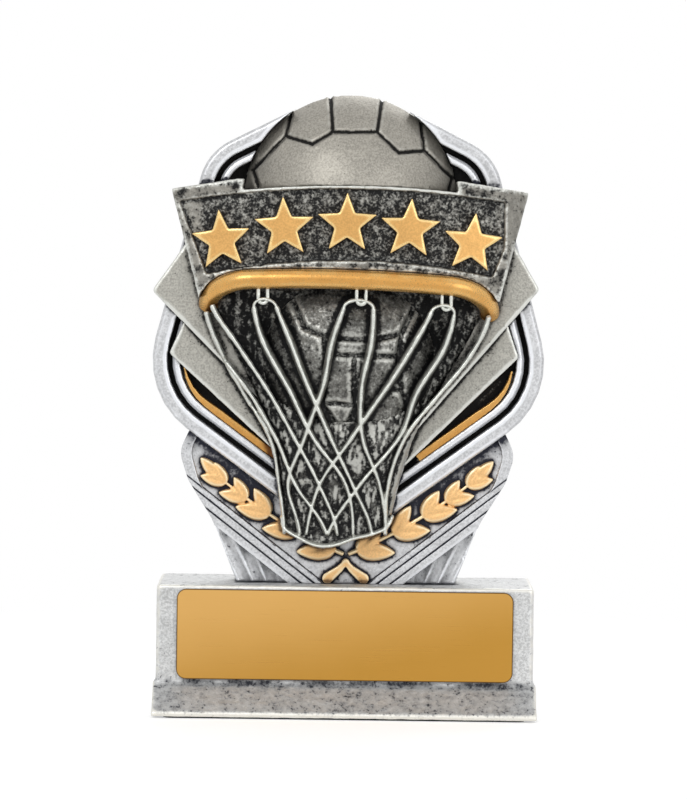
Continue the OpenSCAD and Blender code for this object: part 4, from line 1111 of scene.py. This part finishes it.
# how near the laurel, the outer band and the hoop are, for the painted shade beside them
laurelNear = nearness(("laurelLeft", "laurelRight", "stalkEnds"), blurs["laurel"])
frameNear = nearness(("outerBand",), blurs["frame"])
hoopNear = nearness(("hoopTube",), blurs["hoop"])
stripeNear = nearness(("stripeLeft", "stripeRight"), blurs["stripe"])
stripeGap = nearness(("innerBand",), blurs["stripe"]) * stripeNear
print("relief read, covered cells:", int((~np.isnan(levelMap)).sum()))

# One row for each piece: wash and painted shade in hollows of three widths and in creases, rubbing and
# painted highlight on ridges and on what stands proud, an even wash, and whether faces that look sideways
# take the wash of the hollows too
washKeys = ("near", "mid", "far", "crease", "ridge", "rubglint", "even", "sides")
washRules = {
    "default": (0.5, 0.55, 0.2, 5.0, 5.0, 1.0, 0, True),
    "plinthCast": (0, 0, 0, 2.0, 5.0, 0, 0, False),
    "panelCast": (0.5, 0.5, 0.1, 3.0, 2.0, 0, 0, False),
    "outerBand": (0.5, 0.12, 0, 4.0, 4.0, 0.9, 0, False),
    "innerBand": (0.5, 0.15, 0, 4.0, 3.0, 0.6, 0.12, True),
    "stemCast": (0.12, 0.1, 0, 2.0, 5.0, 0.8, 0, False),
    "shieldCast": (0.1, 0.05, 0, 1.5, 4.0, 0.5, 0, False),
    "lowerPlateCast": (0.5, 0.25, 0, 4.0, 4.0, 0.5, 0.07, False),
    "upperPlateCast": (0.4, 0.15, 0, 4.0, 4.0, 0.5, 0.03, False),
    "bannerCast": (0.2, 0.1, 0, 4.0, 3.5, 0.3, 0.17, False),
    "ballCast": (0.05, 0, 0, 3.0, 4.0, 0.4, 0.02, False),
    "netGround": (0.6, 0.5, 0.2, 4.0, 1.5, 0.5, 0.3, True),
    "netBallCast": (0.4, 0.35, 0.05, 3.0, 2.0, 0.6, 0, True),
    "netStrands": (0, 0.05, 0.05, 1.5, 2.0, 0.5, 0, True),
}
washDepth = {
    "full": {"near": 0.5, "mid": 1.3, "far": 3.5},   # mm below the surroundings at which the wash is full
    "object": (0.55, 0.95),                          # share of object around a point, at and off the outline
    "sideways": (0.6, 0.2, 0.7), "forwards": (0, 0.05, 0.5),   # offset and fade of a face's look forwards
    "rounds": 6, "creaseFrom": 0.01, "ridgeFrom": 0.02, "most": 0.2, "limit": 1.5,
}


def reliefWash(at, rule):
    # the wash with its painted shade in the hollows, and the rubbing with its painted highlight on ridges,
    # that every piece gets from the relief
    limits = washDepth
    levels = {"near": nearMap, "mid": midMap, "far": farMap}
    below = {name: np.clip((at.y - readMap(level, at.points)) / limits["full"][name], -1, 1)
             for name, level in levels.items()}
    inside = stepUp(readMap(nearShare, at.points), *limits["object"]) * at.facing
    local = hollows(at.mesh, limits["rounds"])
    deep = inside * sum(rule[name] * np.clip(value, 0, 1) for name, value in below.items())
    deep = deep + rule["crease"] * np.clip(local - limits["creaseFrom"], 0, limits["most"]) + rule["even"]
    rubglint = (rule["rubglint"] * inside * np.clip(-below["near"], 0, 1)
           + rule["ridge"] * np.clip(-local - limits["ridgeFrom"], 0, limits["most"]))
    return deep, rubglint


# What single pieces get beside that. Three numbers are where a wash starts, where it is full and how strong
# it is, or in a name with At the middle of a streak, its width and its strength.

seamWash = {"ballCast": 0.72, "netBallCast": 1.0}


def washSeams(at, deep, rubglint):
    seam = np.empty(len(at.points), np.float32)
    at.mesh.attributes["seam"].data.foreach_get("value", seam)
    return deep + seamWash[at.name] * seam, rubglint


strandWash = {"flank": (0.2, 1.3), "sides": [(0.3, 0.6, 0.14), (0.6, 1.25, 0.16)], "root": (1.0, 3.0, 0.4),
              "crestAt": (0, 0.27, 0.7)}


def washStrands(at, deep, rubglint):
    # painted shade on the sides and towards the root, and on the crest rubbed silver that also paints its
    # highlight
    away, behind = nearestLine(at.points, netLines)
    ahead = 1 - stepUp(behind, *strandWash["flank"])
    for row in strandWash["sides"]:
        deep = deep + stepUp(away, *row)
    return deep + stepUp(behind, *strandWash["root"]), (rubglint + streak(away, *strandWash["crestAt"])) * ahead


netWash = {
    "shadowAt": (1.1, 0.5, 0.35), "ballLight": (1.0, 2.0, 0.2),
    "foot": 72, "fade": 10, "upper": 0.22, "rubglint": 0.03, "footRub": 0.07,   # the ground below the ball
    "streak": 0.5, "stretch": 0.35, "contrast": 1.4, "level": 0.3,         # its lighter streaks, streaky tone and painted highlight of the lit flanks
    "between": (0.7, 1.3), "streaks": (0.25, 0.25),
}


def shadowsBesideStrands(at, deep):
    # painted shadow on both sides of each strand
    away, _ = nearestLine(at.points, [line[::2] for line in netLines])
    return away, deep + streak(away, *netWash["shadowAt"])


def washNetBall(at, deep, rubglint):
    # painted shadow beside the strands, and the ball painted lighter away from them
    deep, rubglint = washSeams(at, deep, rubglint)
    away, deep = shadowsBesideStrands(at, deep)
    return deep, rubglint + stepUp(away, *netWash["ballLight"])


def washNetGround(at, deep, rubglint):
    net = netWash
    away, deep = shadowsBesideStrands(at, deep)
    noise = latticeNoise(at.points * [1, 1, net["stretch"]], net["streak"], seed=9)
    streaks = np.clip(noise * net["contrast"] + net["level"], 0, 1)
    low = stepUp(net["foot"] - at.z, 0, net["fade"])
    # painted highlight in streaks between the strands, mixed with streaky tone
    litStreaks = stepUp(away, *net["between"]) * streaks * (net["streaks"][0] + net["streaks"][1] * low)
    return deep + (1 - low) * net["upper"], rubglint + net["rubglint"] + net["footRub"] * low + litStreaks


panelWash = {"bare": 0.75, "gain": 12}


def washPanel(at, deep, rubglint):
    # the gaps beside the gold stripes stay light
    gap = np.clip(readMap(stripeGap, at.points) * panelWash["gain"], 0, 1)
    return deep * (1 - panelWash["bare"] * gap), rubglint


shieldWash = {"foot": 12.1, "level": 27.2, "angle": 37.7, "lines": [1.7, 3.4, 4.6], "width": 0.15,
              "field": (4.4, 4.9), "laurel": 1.9, "frame": 1.7, "even": 0.06}


def washShield(at, deep, rubglint):
    # dark pinstripes along the lower edges, and painted shade on the field round the laurel and under the
    # frame
    shield = shieldWash
    angle = math.radians(shield["angle"])
    above = (at.z - shield["level"]) * math.cos(angle) - (np.abs(at.x) - shield["foot"]) * math.sin(angle)
    for line in shield["lines"]:
        deep = deep + streak(above, line, shield["width"]) * at.facing
    # painted shade round the laurel and under the frame
    shade = (readMap(laurelNear, at.points) * shield["laurel"]
             + readMap(frameNear, at.points) * shield["frame"] + shield["even"])
    return deep + stepUp(above, *shield["field"]) * shade, rubglint


panelBack = meshPoints(pieces["panelCast"].data)[:, 1].max() / mm
print("panel's back at", round(panelBack, 2))
plinthShade = {
    "crease": {"height": 7, "depth": -11, "spread": 0.8, "dark": 0.3, "lumps": 0.2, "size": 3},
    "foot": {"half": 23, "front": -3.4, "slant": 1.2, "reach": 0.3, "above": 26.4, "dark": 0.5},
    "facingUp": (0.6, 0.95), "top": (26, 26.8, 0.2), "toeTop": 7.2, "toe": (0, 0.5), "toeFront": -11.2,
    "toeOut": (0, 0.6, 0.32),
}


def shadePlinth(at, deep, rubglint):
    # painted shade where the toe meets the front, round the panel's foot, over the top and on the toe
    crease, foot = plinthShade["crease"], plinthShade["foot"]
    corner = np.exp(-((at.z - crease["height"]) ** 2 + (at.y - crease["depth"]) ** 2) / crease["spread"])
    lumps = latticeNoise(at.points, crease["size"], seed=5)
    deep = deep + corner * (crease["dark"] + crease["lumps"] * lumps)
    out = (np.maximum(np.abs(at.x) - foot["half"], 0) + np.maximum(foot["front"] - at.y, 0) * foot["slant"]
           + np.maximum(at.y - panelBack, 0) * foot["slant"])
    deep = deep + np.exp(-out / foot["reach"]) * (at.z > foot["above"]) * foot["dark"]
    deep = deep + stepUp(at.normals[:, 2], *plinthShade["facingUp"]) * stepUp(at.z, *plinthShade["top"])
    toe = stepUp(plinthShade["toeTop"] - at.z, *plinthShade["toe"])
    return deep + toe * stepUp(plinthShade["toeFront"] - at.y, *plinthShade["toeOut"]), rubglint


bannerWash = {
    "axis": 111.5, "field": 126.2, "front": 127, "margin": 0.15, "fade": 0.35, "facing": (0.5, 0.9),
    "ends": (29.8, 31.8), "dark": 0.4, "endLight": 0.32, "hoop": 0.4, "fieldRub": 0.22,
    "rim": 0.1, "rimLumps": 0.5, "lumpSize": 1.8, "lumpLevel": 0.2,
}


def washBanner(at, deep, rubglint):
    # a dark field that is lighter at its ends, painted shade above the hoop, and a mottled rim
    banner = bannerWash
    middle = (banner["field"] + banner["front"]) / 2
    out = np.hypot(at.x, banner["axis"] - at.y) - middle
    front = stepUp(-at.normals[:, 1], *banner["facing"])
    sunk = stepUp(banner["margin"] - out, 0, banner["fade"]) * front
    rim = stepUp(out - banner["margin"], 0, banner["fade"]) * front
    ends = stepUp(np.abs(at.x), *banner["ends"])
    lumps = np.clip(latticeNoise(at.points, banner["lumpSize"], seed=11) + banner["lumpLevel"], 0, 1)
    deep = deep + sunk * (banner["dark"] - banner["endLight"] * ends)
    # painted shade where the hoop stands in front
    deep = deep + readMap(hoopNear, at.points) * banner["hoop"]
    return deep + rim * (banner["rim"] + banner["rimLumps"] * lumps), rubglint + sunk * banner["fieldRub"]


ownWash = {"ballCast": washSeams, "netBallCast": washNetBall, "netStrands": washStrands,
           "netGround": washNetGround, "panelCast": washPanel, "shieldCast": washShield,
           "plinthCast": shadePlinth, "bannerCast": washBanner}


def setWash(piece):
    rule = dict(zip(washKeys, washRules.get(piece.name, washRules["default"])))
    points = meshPoints(piece.data)
    normals = meshNormals(piece.data)
    offset, low, high = washDepth["sideways" if rule["sides"] else "forwards"]
    x, y, z = (points / mm).T
    at = SimpleNamespace(name=piece.name, mesh=piece.data, points=points, normals=normals, x=x, y=y, z=z,
                         facing=stepUp(offset - normals[:, 1], low, high))
    deep, rubglint = reliefWash(at, rule)
    if piece.name in ownWash:
        deep, rubglint = ownWash[piece.name](at, deep, rubglint)
    # the first layer carries the wash with its painted shade, the second the rubbing with its painted
    # highlight
    putValues(piece.data, "deep", np.clip(deep, 0, washDepth["limit"]))
    putValues(piece.data, "rubglint", np.clip(rubglint, 0, washDepth["limit"]))


for piece in pieces.values():
    setWash(piece)
print("wash laid on", len(pieces), "pieces")

# CAD nodes that keep their own shape

for node, material in (("engraving_plate", goldPlate), ("felt_pad", darkFelt), ("plate_tape", foamTape)):
    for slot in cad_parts[node].material_slots:
        slot.material = material
print("plate, felt and tape coated")

# Stage: pale floor, white surround and soft lamps

stage = {"floorSize": 3.0, "floorColor": (0.86, 0.86, 0.86), "floorRough": 0.9, "floorShine": 0.1,
         "floorLift": 0.42, "world": 0.5, "shadow": (0.1, 0.24),   # where the shadow fades out, in metres
         "lampAim": (0, 0, 0.06)}


def whiteForView(tree):
    # 1 for rays that should see the white surround
    path = addNode(tree, "ShaderNodeLightPath").outputs
    seen = calc(tree, "MAXIMUM", path["Is Camera Ray"], path["Is Glossy Ray"])
    return calc(tree, "MAXIMUM", seen, path["Is Transmission Ray"])


def makeFloor():
    half = stage["floorSize"] / 2
    mesh = bpy.data.meshes.new("studioFloor")
    corners = [(-half, -half, 0), (half, -half, 0), (half, half, 0), (-half, half, 0)]
    mesh.from_pydata(corners, [], [(0, 1, 2, 3)])
    floor = addObject("studioFloor", mesh)
    # round the object the floor takes its shadow, and further out it is plain white to the camera
    material = bpy.data.materials.new("paleFloor")
    material.use_nodes = True
    tree = material.node_tree
    shader = tree.nodes["Principled BSDF"]
    white = whiteForView(tree)
    feed(tree, shader, {"Base Color": stage["floorColor"], "Roughness": stage["floorRough"],
                        "Specular IOR Level": stage["floorShine"], "Emission Color": (1, 1, 1),
                        "Emission Strength": times(tree, white, stage["floorLift"])})
    place = objectPlace(tree)
    away = feed(tree, addNode(tree, "ShaderNodeVectorMath", operation="LENGTH"), {0: place}).outputs["Value"]
    plain = addNode(tree, "ShaderNodeEmission")
    share = times(tree, fade(tree, away, *stage["shadow"]), white)
    mix = addNode(tree, "ShaderNodeMixShader")
    feed(tree, mix, {0: share, 1: shader.outputs["BSDF"], 2: plain.outputs["Emission"]})
    feed(tree, tree.nodes["Material Output"], {"Surface": mix.outputs[0]})
    mesh.materials.append(material)


def makeWorld():
    world = bpy.data.worlds.new("studio")
    scene.world = world
    world.use_nodes = True
    tree = world.node_tree
    white = whiteForView(tree)
    unseen = times(tree, calc(tree, "SUBTRACT", 1, white), stage["world"])
    feed(tree, tree.nodes["Background"], {"Color": (1, 1, 1), "Strength": addUp(tree, unseen, white)})


lamps = {
    "keyLamp": {"at": (-0.42, -0.85, 0.62), "size": 0.5, "power": 3.6},
    "fillLamp": {"at": (0.62, -0.8, 0.3), "size": 0.6, "power": 1.9},
    "backLamp": {"at": (0.15, 0.75, 0.7), "size": 0.5, "power": 2.2},
}


def makeLamps():
    for name, lamp in lamps.items():
        data = bpy.data.lights.new(name, "AREA")
        data.size = lamp["size"]
        data.energy = lamp["power"]
        light = bpy.data.objects.new(name, data)
        light.location = lamp["at"]
        light.rotation_euler = (Vector(stage["lampAim"]) - light.location).to_track_quat("-Z", "Y").to_euler()
        scene.collection.objects.link(light)


makeFloor()
makeWorld()
makeLamps()
scene.view_settings.view_transform = "Standard"
print("stage set")
